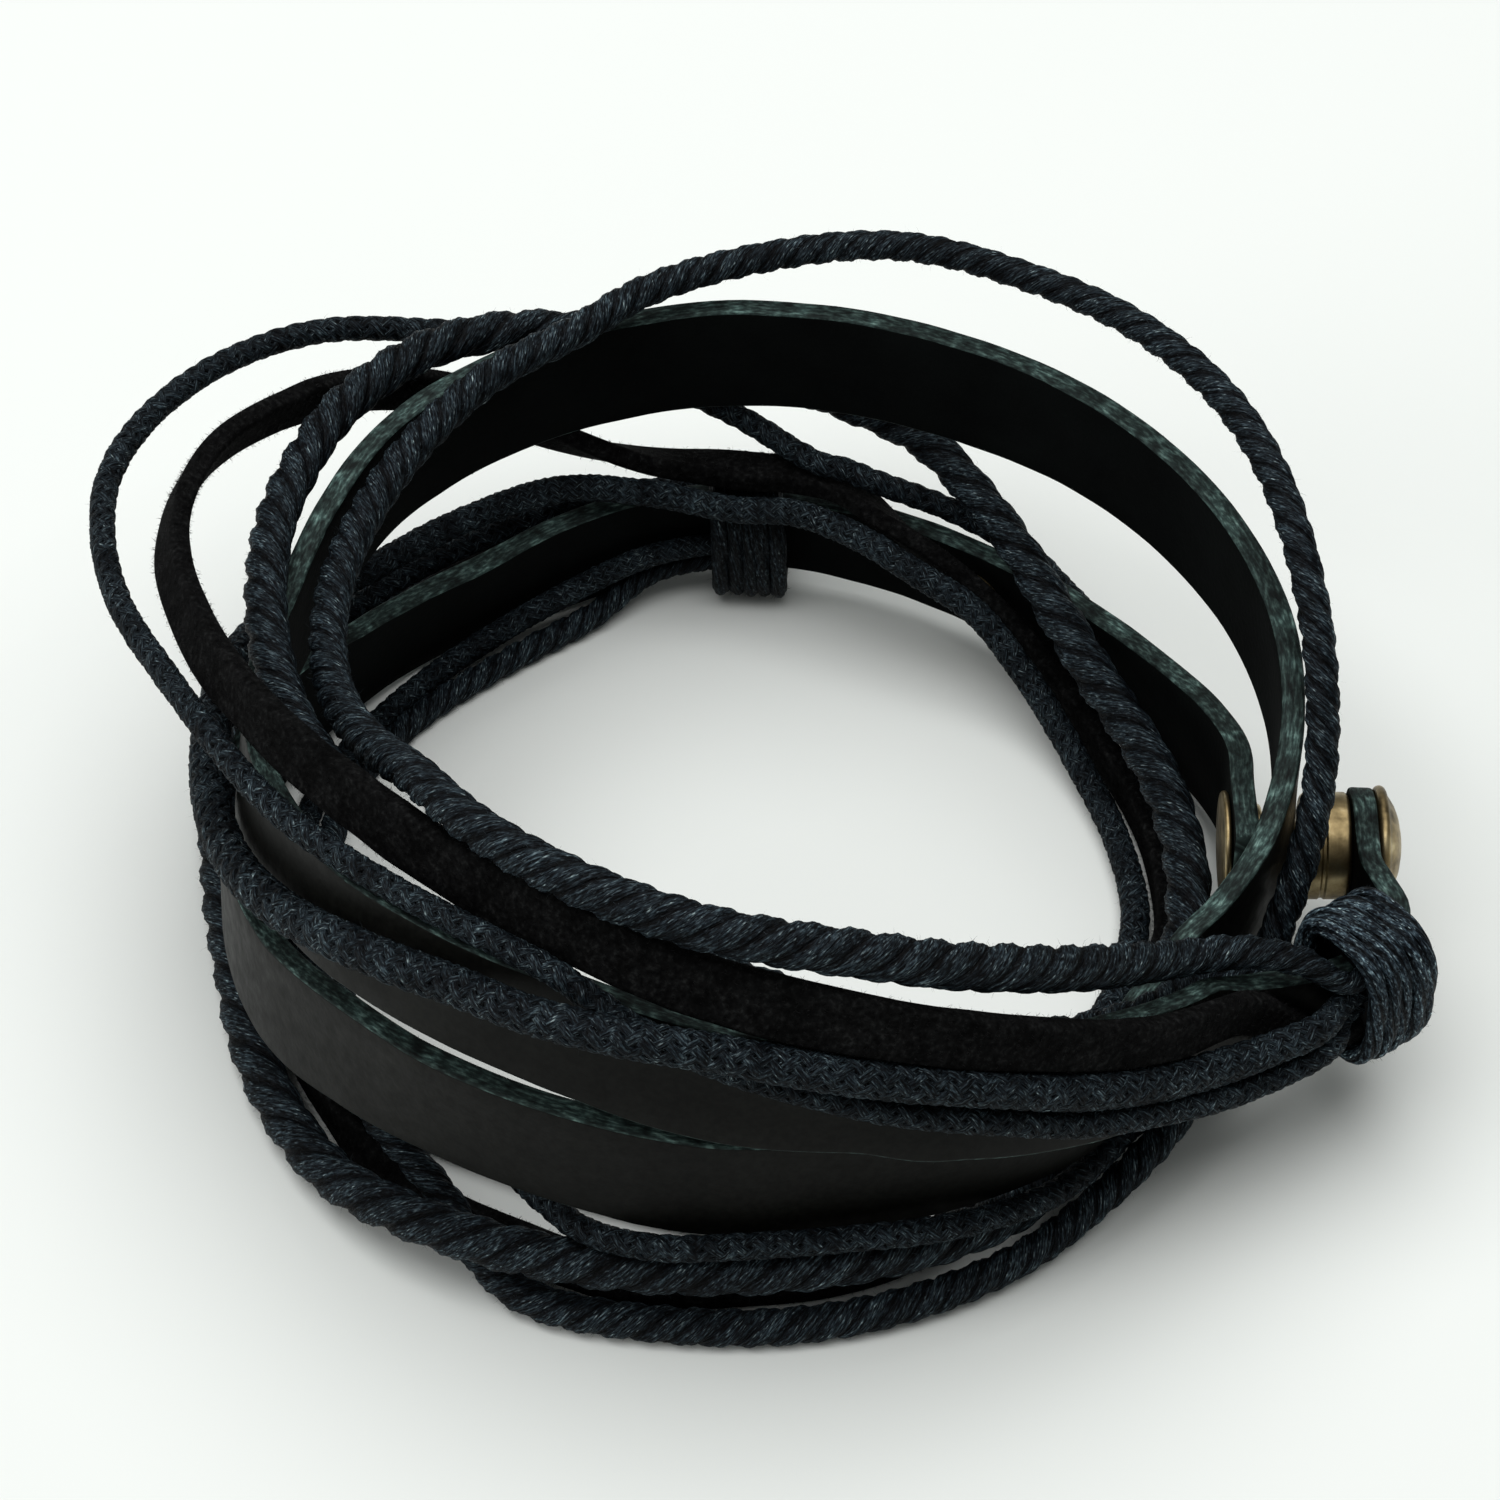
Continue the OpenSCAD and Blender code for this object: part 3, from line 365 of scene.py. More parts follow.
def follow(route, step):
    """Evenly spaced rows along a route, and how far along each one lies."""
    table = np.array(route, float)
    ends = (2 * table[0] - table[1], 2 * table[-1] - table[-2])
    padded = np.vstack([ends[0], table, ends[1]])
    shares = np.linspace(0, 1, CUTS_PER_ROW, endpoint=False)
    dense = [blend(*padded[i:i + 4], share) for i in range(len(table) - 1) for share in shares]
    dense = np.array(dense + [table[-1]])
    return spaced(dense, places(dense), step)


def cross_directions(rows, lean):
    """Place, heading, up and side at each row. Up leans inward by the lean, in degrees."""
    place = places(rows)
    heading = unit(np.gradient(place, axis=0))
    turn = np.radians(rows[:, 0])
    outward = np.stack([np.cos(turn), -np.sin(turn), np.zeros(len(rows))], 1)
    tilt = np.radians(lean)
    up = np.cos(tilt)[:, None] * LEVEL_UP - np.sin(tilt)[:, None] * outward
    up = unit(up - (up * heading).sum(1)[:, None] * heading)
    return place, heading, up, np.cross(heading, up)


def carried_directions(place):
    """Up and side carried along a path without twisting. Up starts out near X."""
    heading = unit(np.gradient(place, axis=0))
    up = np.zeros_like(place)
    for i in range(len(place)):
        guide = up[i - 1] if i else np.array([1.0, 0, 0])
        guide = guide - (guide @ heading[i]) * heading[i]
        up[i] = guide / np.linalg.norm(guide)
    return up, np.cross(heading, up)


def wandering(wander, count, step, seed):
    """A slow random wander, one value per step. It strays so far, over such a length."""
    reach, length = wander
    spacing = length / step
    marks = np.random.default_rng(seed).uniform(-1, 1, int(count / spacing) + 3)
    return reach * np.interp(np.arange(count) / spacing, np.arange(len(marks)), marks)


class Path(NamedTuple):
    """A round strand step by step: place, two directions across, radius and distance along it."""
    place: np.ndarray
    side: np.ndarray
    up: np.ndarray
    radius: np.ndarray
    along: np.ndarray

    def stray(self, wander, seed):
        return wandering(wander, len(self.along), np.gradient(self.along)[0], seed)

    def turned(self, angle):
        """Its two directions, turned about its heading by an angle at each step."""
        cosine, sine = np.cos(angle)[:, None], np.sin(angle)[:, None]
        return cosine * self.side + sine * self.up, cosine * self.up - sine * self.side


class Lay(NamedTuple):
    """A flat strand step by step: place, three directions, width and thickness."""
    place: np.ndarray
    heading: np.ndarray
    up: np.ndarray
    side: np.ndarray
    wide: np.ndarray
    thick: np.ndarray


class Surface:
    """Collects swept skins and fibres, then becomes one mesh object."""

    def __init__(self):
        self.points = []
        self.faces = []
        self.spots = []
        self.creases = []
        self.slots = []
        self.count = 0

    def sweep(self, rings, along, around, slots, crease=0.0):
        """Joins rings of points. Along and around give each face corner its spot, in millimetres.

        Crease tells for each side how deep between its neighbours it lies, from 0 to 1. The cord
        materials paint shade by it.
        """
        steps, sides = rings.shape[:2]
        ring = np.arange(steps - 1)[:, None]
        side = np.arange(sides)[None, :]
        after = ring + 1
        beside = (side + 1) % sides
        quads = np.stack([ring * sides + side, after * sides + side,
                          after * sides + beside, ring * sides + beside], -1)
        quads = quads.reshape(-1, 4) + self.count
        grid = (len(ring), sides)
        low, high = along[:-1, None], along[1:, None]
        left, right = around[:-1], around[1:]
        spots = np.stack([np.stack(np.broadcast_arrays(*spot), -1) for spot in (
            (low, left), (high, left), (high, right), (low, right))], 2)
        self.points.append(rings.reshape(-1, 3))
        self.creases.append(np.tile(np.broadcast_to(crease, sides), steps))
        self.faces += quads.tolist()
        self.spots.append(spots.reshape(-1, 2))
        self.slots += np.broadcast_to(slots, grid).reshape(-1).tolist()
        self.cap(self.count, sides, along[0], slots, flip=True)
        self.cap(self.count + (steps - 1) * sides, sides, along[-1], slots, flip=False)
        self.count += steps * sides

    def cap(self, first, sides, along, slots, flip):
        """Closes one end of a sweep."""
        corners = np.arange(sides) + first
        self.faces.append((corners if flip else corners[::-1]).tolist())
        self.spots.append(np.stack([np.full(sides, along), np.linspace(0, 1, sides)], 1))
        self.slots.append(int(np.max(slots)))

    def fibres(self, roots, outward, heading, length, width, slot, seed, lie):
        """Fine tapered hairs, each of two pieces. Lie is how far they lean along the strand."""
        chance = np.random.default_rng(seed)
        count = len(roots)
        stray = chance.normal(0, 1, (count, 3))
        lying = lie * chance.uniform(-1, 1, count)[:, None] * heading
        first = unit(outward + lying + ROOT_STRAY * stray)
        second = unit(first + TIP_STRAY * chance.normal(0, 1, (count, 3)))
        reach = length * chance.uniform(SHORTEST_FIBRE, 1, count)[:, None]
        across = unit(np.cross(first, heading + RIBBON_STRAY * stray))
        mid = roots + first * reach * 0.5
        tip = mid + second * reach * 0.5
        half = across * width / 2
        corners = np.stack([roots - half, roots + half,
                            mid + half * FIBRE_TAPER, mid - half * FIBRE_TAPER, tip], 1)
        base = self.count + np.arange(count)[:, None] * FIBRE_POINTS
        lower = base + np.array([[0, 1, 2, 3]])
        upper = base + np.array([[3, 2, 4]])
        self.points.append(corners.reshape(-1, 3))
        self.creases.append(np.zeros(count * FIBRE_POINTS))
        self.faces += lower.tolist() + upper.tolist()
        self.spots.append(np.zeros((count * FIBRE_CORNERS, 2)))
        self.slots += [slot] * (2 * count)
        self.count += count * FIBRE_POINTS

    def build(self, node, materials):
        """Makes the mesh and shows it in place of a node's solid."""
        mesh = bpy.data.meshes.new(node + "_dressed")
        mesh.from_pydata((np.vstack(self.points) * MM).tolist(), [], self.faces)
        layer = mesh.uv_layers.new(name="spot")
        layer.data.foreach_set("uv", np.vstack(self.spots).astype(np.float32).ravel())
        for material in materials:
            mesh.materials.append(material)
        mesh.polygons.foreach_set("material_index", np.array(self.slots, np.int32))
        mesh.polygons.foreach_set("use_smooth", np.full(len(self.faces), True))
        crease = mesh.attributes.new("crease", "FLOAT", "POINT")
        crease.data.foreach_set("value", np.concatenate(self.creases).astype(np.float32))
        mesh.update()
        dress(node, mesh)


def add_object(data):
    """Puts a mesh, a light or a camera in the scene."""
    thing = bpy.data.objects.new(data.name, data)
    bpy.context.scene.collection.objects.link(thing)
    return thing


def dress(node, mesh):
    """Shows a mesh in place of a node's solid."""
    piece = add_object(mesh)
    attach(piece, "root")
    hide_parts(node)


# Round strands

def cord_path(route, step):
    rows, along = follow(route, step)
    place, _, up, side = cross_directions(rows, np.zeros(len(rows)))
    return Path(place, side, up, rows[:, 3] / 2, along)


def tube(surface, path, sides, crease_shading, flatness=1.0, yarns=0):
    """A round tube. Crease shading gives the depth in the creases for each place across, which is
    painted as shade.

    Flatness squeezes the tube along up, and yarns are ridges that wind round it.
    """
    share = np.linspace(0, 1, sides + 1)
    across, high = np.cos(FULL_TURN * share[:-1]), np.sin(FULL_TURN * share[:-1])
    reach = np.broadcast_to(path.radius[:, None], (len(path.place), sides))
    if yarns:
        ridge = np.cos(yarns * FULL_TURN * share[None, :-1] + YARN_TURN * path.along[:, None])
        reach = reach * (1 + YARN_RIDGE * ridge)
    rings = (path.place[:, None, :] + reach[:, :, None] * (
        across[None, :, None] * path.side[:, None, :]
        + flatness * high[None, :, None] * path.up[:, None, :]))
    around = share * FULL_TURN * float(np.mean(path.radius))
    surface.sweep(rings, path.along, around, CORD_BODY, crease_shading(across))


def between_plies(across):
    """A ply is in the open on its outer side only; its inner side gets painted shade."""
    return np.clip((PLY_CREASE_FROM - across) / PLY_CREASE_WIDTH, 0, 1)


def between_carriers(across):
    """A braid's strand dips at both of its edges, which get painted shade."""
    return np.clip((np.abs(across) - CARRIER_CREASE_FROM) / CARRIER_CREASE_WIDTH, 0, 1)


def buried(across):
    """All of it lies deep inside and gets painted shade in full."""
    return np.ones(len(across))


def twist_along(path, lead_share, wander, seed):
    """The angle of the lay at each step. The lead is a share of the cord's thickness."""
    step = np.gradient(path.along)
    loose = 1 + path.stray(wander, seed + LAY_DRAWS)
    return np.cumsum(FULL_TURN * step * loose / (lead_share * 2 * path.radius))


def lay_plies(surface, path, plies, lead_share, ply_share, sides, seed, yarns):
    """Twists equal plies round a common core."""
    twist = twist_along(path, lead_share, LAY_WANDER, seed)
    for ply in range(plies):
        outward, around = path.turned(twist + FULL_TURN * ply / plies)
        radius = ply_share * path.radius * (1 + path.stray(PLY_SWELL, seed + ply))
        centre = path.place + outward * (path.radius * PLY_REACH - radius)[:, None]
        strand = Path(centre, outward, around, radius, path.along)
        tube(surface, strand, sides, between_plies, yarns=yarns)


def lay_braid(surface, path, carriers, lead_share, sides, seed):
    """Weaves as many strands leftward as rightward, each over one and under the next."""
    twist = twist_along(path, lead_share, BRAID_WANDER, seed)
    half_width = np.pi * path.radius * CARRIER_FILL / carriers
    for hand in (1, -1):
        for carrier in range(carriers):
            sway = path.stray(CARRIER_SWAY, seed + SWAY_DRAWS + 3 * carrier + hand)
            outward, around = path.turned(hand * twist + FULL_TURN * carrier / carriers + sway)
            lift = hand * np.cos(carriers * twist) * CARRIER_LIFT * path.radius
            swell = 1 + path.stray(CARRIER_SWELL, seed + 7 * carrier + hand)
            centre = path.place + outward * (path.radius * CARRIER_REACH + lift)[:, None]
            strand = Path(centre, -around, outward, half_width * swell, path.along)
            tube(surface, strand, sides, between_carriers, flatness=CARRIER_FLATNESS)


def cord_fuzz(surface, path, count, length, lie, seed):
    """Loose fibres that stand off a cord."""
    chance = np.random.default_rng(seed)
    pick = chance.integers(1, len(path.place) - 1, count)
    angle = chance.uniform(0, FULL_TURN, count)
    side, up = path.side[pick], path.up[pick]
    outward = np.cos(angle)[:, None] * side + np.sin(angle)[:, None] * up
    roots = path.place[pick] + outward * (path.radius[pick] * CORD_ROOT)[:, None]
    surface.fibres(roots, outward, np.cross(side, up), length, CORD_FIBRE_WIDTH, CORD_HAIR,
                   seed + 1, lie)


def cord_nap(surface, path, hairs, longest, seed):
    """Many short loose fibres and a few long ones."""
    cord_fuzz(surface, path, hairs, length=0.6, lie=1.3, seed=seed + FUZZ_DRAWS)
    cord_fuzz(surface, path, hairs // LONG_FIBRES_ONE_IN, longest, lie=0.7, seed=seed + LONG_FUZZ_DRAWS)


# Flat strands

def flat_section(width, thickness, corner):
    """A flat section with round corners: places across the thickness and up the width."""
    half_thick = thickness / 2 - corner
    half_wide = width / 2 - corner
    outline = []
    for sign_side, sign_up, start in SECTION_CORNERS:
        for k in range(CORNER_STEPS + 1):
            angle = math.radians(start + 90 * k / CORNER_STEPS)
            outline.append((sign_side * half_thick + corner * math.cos(angle),
                            sign_up * half_wide + corner * math.sin(angle)))
        if sign_side != sign_up:
            last = outline[-1]
            target = -sign_up * half_wide
            outline += [(last[0], last[1] + (target - last[1]) * k / FACE_STEPS)
                        for k in range(1, FACE_STEPS)]
    return np.array(outline)


def lay_flat(surface, route, thickness, step, corner, seed, grain_side=-1, wander=LEATHER_WANDER):
    """A flat strand with a grain face, a flesh face and two cut edges."""
    rows, along = follow(route, step)
    count = len(rows)
    place, heading, up, side = cross_directions(rows, rows[:, 3])
    thick = thickness * (1 + wandering(wander, count, step, seed))
    wide = rows[:, 4] + wandering(WIDTH_WANDER, count, step, seed + 1)
    sections = np.stack([flat_section(w, t, corner) for w, t in zip(wide, thick)])
    rings = (place[:, None, :] + sections[:, :, 0, None] * side[:, None, :]
             + sections[:, :, 1, None] * up[:, None, :])
    middle = sections[count // 2]
    after = np.roll(middle, -1, axis=0)
    around = np.concatenate([[0], np.cumsum(np.linalg.norm(after - middle, axis=1))])
    reach = (middle[:, 0] + after[:, 0]) / 2 * grain_side
    face = np.max(np.abs(middle[:, 0])) - FACE_DEPTH
    slots = np.where(reach > face, GRAIN, np.where(reach < -face, FLESH, EDGE))
    surface.sweep(rings, along, around, slots)
    return Lay(place, heading, up, side, wide, thick)


def flat_fuzz(surface, lay, count, length, lie, seed, edges_only=False):
    """Hairs on a flat strand, all over or on its two cut edges."""
    chance = np.random.default_rng(seed)
    pick = chance.integers(1, len(lay.place) - 1, count)
    up, side = lay.up[pick], lay.side[pick]
    wide, thick = lay.wide[pick][:, None], lay.thick[pick][:, None]
    sign = chance.choice([-1, 1], count)[:, None]
    spread = chance.uniform(-1, 1, count)[:, None]
    share = chance.uniform(0, 1, count)[:, None]
    on_edge = np.full((count, 1), True) if edges_only else share < EDGE_FIBRE_SHARE
    edge_root = sign * wide * EDGE_ROOT["up"] * up + spread * thick * EDGE_ROOT["across"] * side
    face_root = spread * wide * FACE_ROOT["up"] * up + sign * thick * FACE_ROOT["across"] * side
    roots = lay.place[pick] + np.where(on_edge, edge_root, face_root)
    outward = np.where(on_edge, sign * up, sign * side)
    surface.fibres(roots, outward, lay.heading[pick], length, LEATHER_FIBRE_WIDTH, LEATHER_HAIR,
                   seed + 1, lie)


# Knots

def knot_frame(knot):
    """The knot's middle, its axis and its direction across."""
    heading = math.radians(knot["heading"])
    axis = np.array([math.cos(heading), math.sin(heading), 0])
    across = np.array([-math.sin(heading), math.cos(heading), 0])
    return np.array(knot["place"]) + RING_MIDDLE, axis, across


def squared(wave):
    """A wave with flatter crests, which squares off a round bundle."""
    return np.sign(wave) * np.abs(wave) ** (2 / KNOT_SQUARENESS)


def winding(knot, seed):
    """A cord wound round a knot's squared bundle, its ends tucked under and its turns bowed."""
    middle, axis, across = knot_frame(knot)
    count = KNOT_TURNS * STEPS_PER_KNOT_TURN
    angle = np.linspace(0, FULL_TURN * KNOT_TURNS, count)
    tuck = np.minimum(1, np.minimum(angle, angle[-1] - angle) / KNOT_TUCK_ANGLE)
    stray = wandering(KNOT_LIFT_WANDER, count, 1, seed)
    lift = KNOT_CORD_RADIUS + stray - KNOT_TUCK_DEPTH * (1 - tuck)
    half_across, half_high = knot["hollow"]
    out = squared(np.cos(angle)) * (half_across + lift)
    high = squared(np.sin(angle)) * (half_high + lift)
    bow = knot["bow"] * np.cos(angle - math.radians(KNOT_FACING))
    sway = wandering(KNOT_SIDE_WANDER, count, 1, seed + 1)
    forward = KNOT_PITCH * (angle / FULL_TURN - KNOT_TURNS / 2) + bow + sway
    path = middle + forward[:, None] * axis + out[:, None] * across + high[:, None] * LEVEL_UP
    even, along = spaced(path, path, KNOT_STEP)
    for _ in range(KNOT_SMOOTHING):
        even[1:-1] = (even[:-2] + 2 * even[1:-1] + even[2:]) / 4
    up, side = carried_directions(even)
    return Path(even, side, up, np.full(len(even), KNOT_CORD_RADIUS), along)


def fill_knot(surface, knot):
    """Tucked thread that closes the bundle half way through the winding."""
    middle, axis, _ = knot_frame(knot)
    half_across, half_high = np.array(knot["hollow"]) + KNOT_FILL_GRIP
    along = np.linspace(0, KNOT_FILL_LENGTH, KNOT_FILL_STEPS)
    place = middle + (along - KNOT_FILL_LENGTH / 2)[:, None] * axis
    up = np.tile(LEVEL_UP, (KNOT_FILL_STEPS, 1))
    path = Path(place, np.cross(axis, up), up, np.full(KNOT_FILL_STEPS, half_across), along)
    tube(surface, path, sides=24, crease_shading=buried, flatness=half_high / half_across)


# Turned metal

def traced(profile):
    """Points of a turned profile, with its round corners laid out."""
    points = []
    for radius, where, *corner in profile:
        if corner:
            reach, start, end, count = corner
            points += [(radius + reach * math.cos(angle), where + reach * math.sin(angle))
                       for angle in np.radians(np.linspace(start, end, count))]
        else:
            points.append((radius, where))
    return points


def lathe(node, profile, centre, axis, across):
    """Turns a profile about an axis."""
    up = np.cross(axis, across)
    outline = traced(profile)
    points = []
    for k in range(SPINS):
        angle = FULL_TURN * k / SPINS
        spoke = math.cos(angle) * across + math.sin(angle) * up
        points += [centre + radius * spoke + where * axis for radius, where in outline]
    width = len(outline)
    faces = []
    for k in range(SPINS):
        after = (k + 1) % SPINS
        faces += [(k * width + j, after * width + j, after * width + j + 1, k * width + j + 1)
                  for j in range(width - 1)]
    mesh = bpy.data.meshes.new(node + "_dressed")
    mesh.from_pydata((np.array(points) * MM).tolist(), [], faces)
    mesh.materials.append(bronze)
    finish_turning(mesh)
    dress(node, mesh)


def finish_turning(mesh):
    """Joins the points on the axis and keeps the profile's corners crisp."""
    work = bmesh.new()
    work.from_mesh(mesh)
    bmesh.ops.remove_doubles(work, verts=work.verts, dist=SAME_PLACE)
    bmesh.ops.recalc_face_normals(work, faces=work.faces)
    work.to_mesh(mesh)
    work.free()
    mesh.polygons.foreach_set("use_smooth", np.full(len(mesh.polygons), True))
    mesh.set_sharp_from_angle(angle=math.radians(CRISP_ANGLE))


# Shader helpers

def new_material(name):
    material = bpy.data.materials.new(name)
    material.use_nodes = True
    return material, material.node_tree, material.node_tree.nodes["Principled BSDF"]


def set_inputs(node, settings):
    for key, value in settings.items():
        node.inputs[key].default_value = value


def add_node(tree, kind, settings=None, **attributes):
    node = tree.nodes.new(kind)
    for key, value in attributes.items():
        setattr(node, key, value)
    set_inputs(node, settings or {})
    return node


def strand_spot(tree):
    """The place along and round a strand, in millimetres."""
    return add_node(tree, "ShaderNodeTexCoord").outputs["UV"]


def object_place(tree):
    """The place in the object, in metres."""
    return add_node(tree, "ShaderNodeTexCoord").outputs["Object"]


def noise(tree, source, scale, detail, stretch=(1, 1, 1), turn=0):
    """Noise on a coordinate source, stretched and turned about Z."""
    mapping = add_node(tree, "ShaderNodeMapping",
                       {"Scale": stretch, "Rotation": (0, 0, math.radians(turn))})
    texture = add_node(tree, "ShaderNodeTexNoise",
                       {"Scale": scale, "Detail": detail, "Roughness": NOISE_ROUGHNESS})
    tree.links.new(source, mapping.inputs["Vector"])
    tree.links.new(mapping.outputs["Vector"], texture.inputs["Vector"])
    return texture.outputs["Fac"]


def ramp(tree, source, stops):
    """Colours at places between 0 and 1. Each stop is a place and a colour."""
    node = add_node(tree, "ShaderNodeValToRGB")
    band = node.color_ramp
    while len(band.elements) < len(stops):
        band.elements.new(0.5)
    for element, (where, colour) in zip(band.elements, stops):
        element.position = where
        element.color = (*colour, 1)
    tree.links.new(source, node.inputs["Fac"])
    return node.outputs["Color"]


def combine(tree, mode, first, second):
    """Two colours added or multiplied in full."""
    node = add_node(tree, "ShaderNodeMix", {"Factor": 1.0}, data_type="RGBA", blend_type=mode)
    tree.links.new(first, node.inputs[MIX_FIRST])
    tree.links.new(second, node.inputs[MIX_SECOND])
    return node.outputs[MIX_RESULT]


def to_range(tree, source, low, high):
    """Spreads noise over the range from low to high."""
    node = add_node(tree, "ShaderNodeMapRange", {**NOISE_RANGE, "To Min": low, "To Max": high})
    tree.links.new(source, node.inputs["Value"])
    return node.outputs["Result"]


def bump(tree, shader, layers):
    """Stacks heights, each with its depth in metres and strength."""
    previous = None
    for height, depth, strength in layers:
        node = add_node(tree, "ShaderNodeBump", {"Strength": strength, "Distance": depth})
        tree.links.new(height, node.inputs["Height"])
        if previous:
            tree.links.new(previous, node.inputs["Normal"])
        previous = node.outputs["Normal"]
    tree.links.new(previous, shader.inputs["Normal"])


# Materials

# Light scales the painted brightness of the open fibres: above 1 it paints extra light, below 1 it
# paints shade.
def cord_material(name, fibre_turn, light):
    """Waxed blue-black cotton: fine fibres along each ply, with painted glints on some of them and
    painted shade in the creases between plies.
    """
    material, tree, shader = new_material(name)
    spot = strand_spot(tree)
    yarns = noise(tree, spot, scale=1.0, detail=2, stretch=(0.5, 2.8, 1), turn=fibre_turn)
    fibres = noise(tree, spot, scale=1.0, detail=3, stretch=(1.9, 4.6, 1), turn=fibre_turn)
    painted_glints = noise(tree, spot, scale=1.0, detail=2, stretch=(2.3, 5.2, 1), turn=fibre_turn + GLINT_TURN)
    patches = noise(tree, object_place(tree), scale=380, detail=3)
    body = ramp(tree, fibres, [(0.34, (0.0006, 0.0008, 0.0012)), (0.48, (0.0042, 0.0063, 0.0088)),
                               (0.60, (0.017, 0.026, 0.033)), (0.74, (0.064, 0.090, 0.104))])
    # Painted highlight: bright blue-grey glints added on top of the fibre colour.
    lit = ramp(tree, painted_glints, [(0.56, (0, 0, 0)), (0.66, (0.045, 0.061, 0.067)),
                              (0.78, (0.27, 0.33, 0.335))])
    bands = ramp(tree, yarns, [(0.34, (0.35, 0.36, 0.38)), (0.52, (1, 1, 1)), (0.70, (1.7, 1.7, 1.65))])
    shade = ramp(tree, patches, [(0.3, (0.3, 0.32, 0.36)), (0.7, (1.9, 1.9, 1.85))])
    # Painted shade: this ramp darkens the sides of each ply or braid strand that face their neighbours.
    depth = add_node(tree, "ShaderNodeAttribute", attribute_name="crease")
    crease_shading = ramp(tree, depth.outputs["Fac"], [(0.0, (light,) * 3), (0.35, (0.7, 0.7, 0.72)),
                                             (0.75, (0.1, 0.1, 0.12))])
    colour = combine(tree, "ADD", body, lit)
    for layer in (bands, shade, crease_shading):
        colour = combine(tree, "MULTIPLY", colour, layer)
    tree.links.new(colour, shader.inputs["Base Color"])
    tree.links.new(to_range(tree, fibres, low=0.7, high=0.46), shader.inputs["Roughness"])
    set_inputs(shader, {"Specular IOR Level": 0.08})
    bump(tree, shader, [(yarns, 0.00034, 0.9), (fibres, 0.00018, 1.0)])
    return material


def grain_material():
    """Smooth black leather with fine pores, in broad paler patches of painted light."""
    material, tree, shader = new_material("strap_grain")
    place = object_place(tree)
    pores = noise(tree, place, scale=2000, detail=2)
    creases = noise(tree, place, scale=700, detail=3)
    painted_light_patches = noise(tree, place, scale=60, detail=3)
    # Painted light: broad paler patches stand in for light falling on the strap's face.
    colour = ramp(tree, painted_light_patches, [(0.3, (0.0016, 0.0017, 0.0014)), (0.7, (0.0046, 0.0048, 0.0040))])
    fine = ramp(tree, pores, [(0.35, (0.6, 0.6, 0.6)), (0.65, (1.35, 1.35, 1.35))])
    tree.links.new(combine(tree, "MULTIPLY", colour, fine), shader.inputs["Base Color"])
    tree.links.new(to_range(tree, creases, low=0.42, high=0.54), shader.inputs["Roughness"])
    set_inputs(shader, {"Specular IOR Level": 0.08})
    bump(tree, shader, [(creases, 0.00012, 0.2), (pores, 0.00004, 0.3)])
    return material


def flesh_material():
    """The leather's rough inner face, dyed black."""
    material, tree, shader = new_material("strap_flesh")
    place = object_place(tree)
    nap = noise(tree, place, scale=1900, detail=4)
    cloudy = noise(tree, place, scale=160, detail=2)
    colour = ramp(tree, cloudy, [(0.3, (0.0008, 0.0012, 0.0012)), (0.7, (0.0022, 0.0030, 0.0029))])
    tree.links.new(colour, shader.inputs["Base Color"])
    set_inputs(shader, {"Roughness": 0.85, "Specular IOR Level": 0.05})
    bump(tree, shader, [(nap, 0.0001, 0.5)])
    return material


def edge_material():
    """The leather's cut edge: grey-green fibres that the dye has half covered."""
    material, tree, shader = new_material("strap_edge")
    strands = noise(tree, strand_spot(tree), scale=1.0, detail=4, stretch=(1.1, 3.6, 1))
    patches = noise(tree, object_place(tree), scale=520, detail=3)
    colour = ramp(tree, strands, [(0.32, (0.0045, 0.0078, 0.0076)), (0.50, (0.020, 0.036, 0.033)),
                                  (0.64, (0.066, 0.108, 0.097)), (0.78, (0.165, 0.240, 0.215))])
    shade = ramp(tree, patches, [(0.3, (0.15, 0.17, 0.17)), (0.52, (0.7, 0.7, 0.7)),
                                 (0.7, (2.0, 2.0, 2.0))])
    tree.links.new(combine(tree, "MULTIPLY", colour, shade), shader.inputs["Base Color"])
    set_inputs(shader, {"Roughness": 0.7, "Specular IOR Level": 0.15})
    bump(tree, shader, [(strands, 0.00012, 0.6), (patches, 0.0002, 0.3)])
    return material


def suede_material():
    """Matte black napped suede."""
    material, tree, shader = new_material("suede")
    place = object_place(tree)
    nap = noise(tree, place, scale=2300, detail=3)
    brushed = noise(tree, place, scale=520, detail=3)
    colour = ramp(tree, nap, [(0.34, (0.0012, 0.0012, 0.0013)), (0.56, (0.0040, 0.0041, 0.0042)),
                              (0.74, (0.012, 0.0125, 0.0125))])
    shade = ramp(tree, brushed, [(0.3, (0.4, 0.4, 0.4)), (0.7, (1.6, 1.6, 1.6))])
    tree.links.new(combine(tree, "MULTIPLY", colour, shade), shader.inputs["Base Color"])
    set_inputs(shader, {"Roughness": 0.95, "Specular IOR Level": 0.05})
    bump(tree, shader, [(nap, 0.00015, 0.8), (brushed, 0.0003, 0.3)])
    return material


def bronze_material():
    """Antique brass, browner in the worn patches."""
    material, tree, shader = new_material("antique_brass")
    place = object_place(tree)
    patina = noise(tree, place, scale=420, detail=4)
    scratches = noise(tree, place, scale=1800, detail=3, stretch=(1, 1, 0.25))
    colour = ramp(tree, patina, [(0.3, (0.060, 0.043, 0.021)), (0.52, (0.29, 0.220, 0.110)),
                                 (0.75, (0.62, 0.51, 0.30))])
    tree.links.new(colour, shader.inputs["Base Color"])
    tree.links.new(to_range(tree, patina, low=0.5, high=0.32), shader.inputs["Roughness"])
    set_inputs(shader, {"Metallic": 1.0})
    bump(tree, shader, [(scratches, 0.00003, 0.3), (patina, 0.0001, 0.15)])
    return material


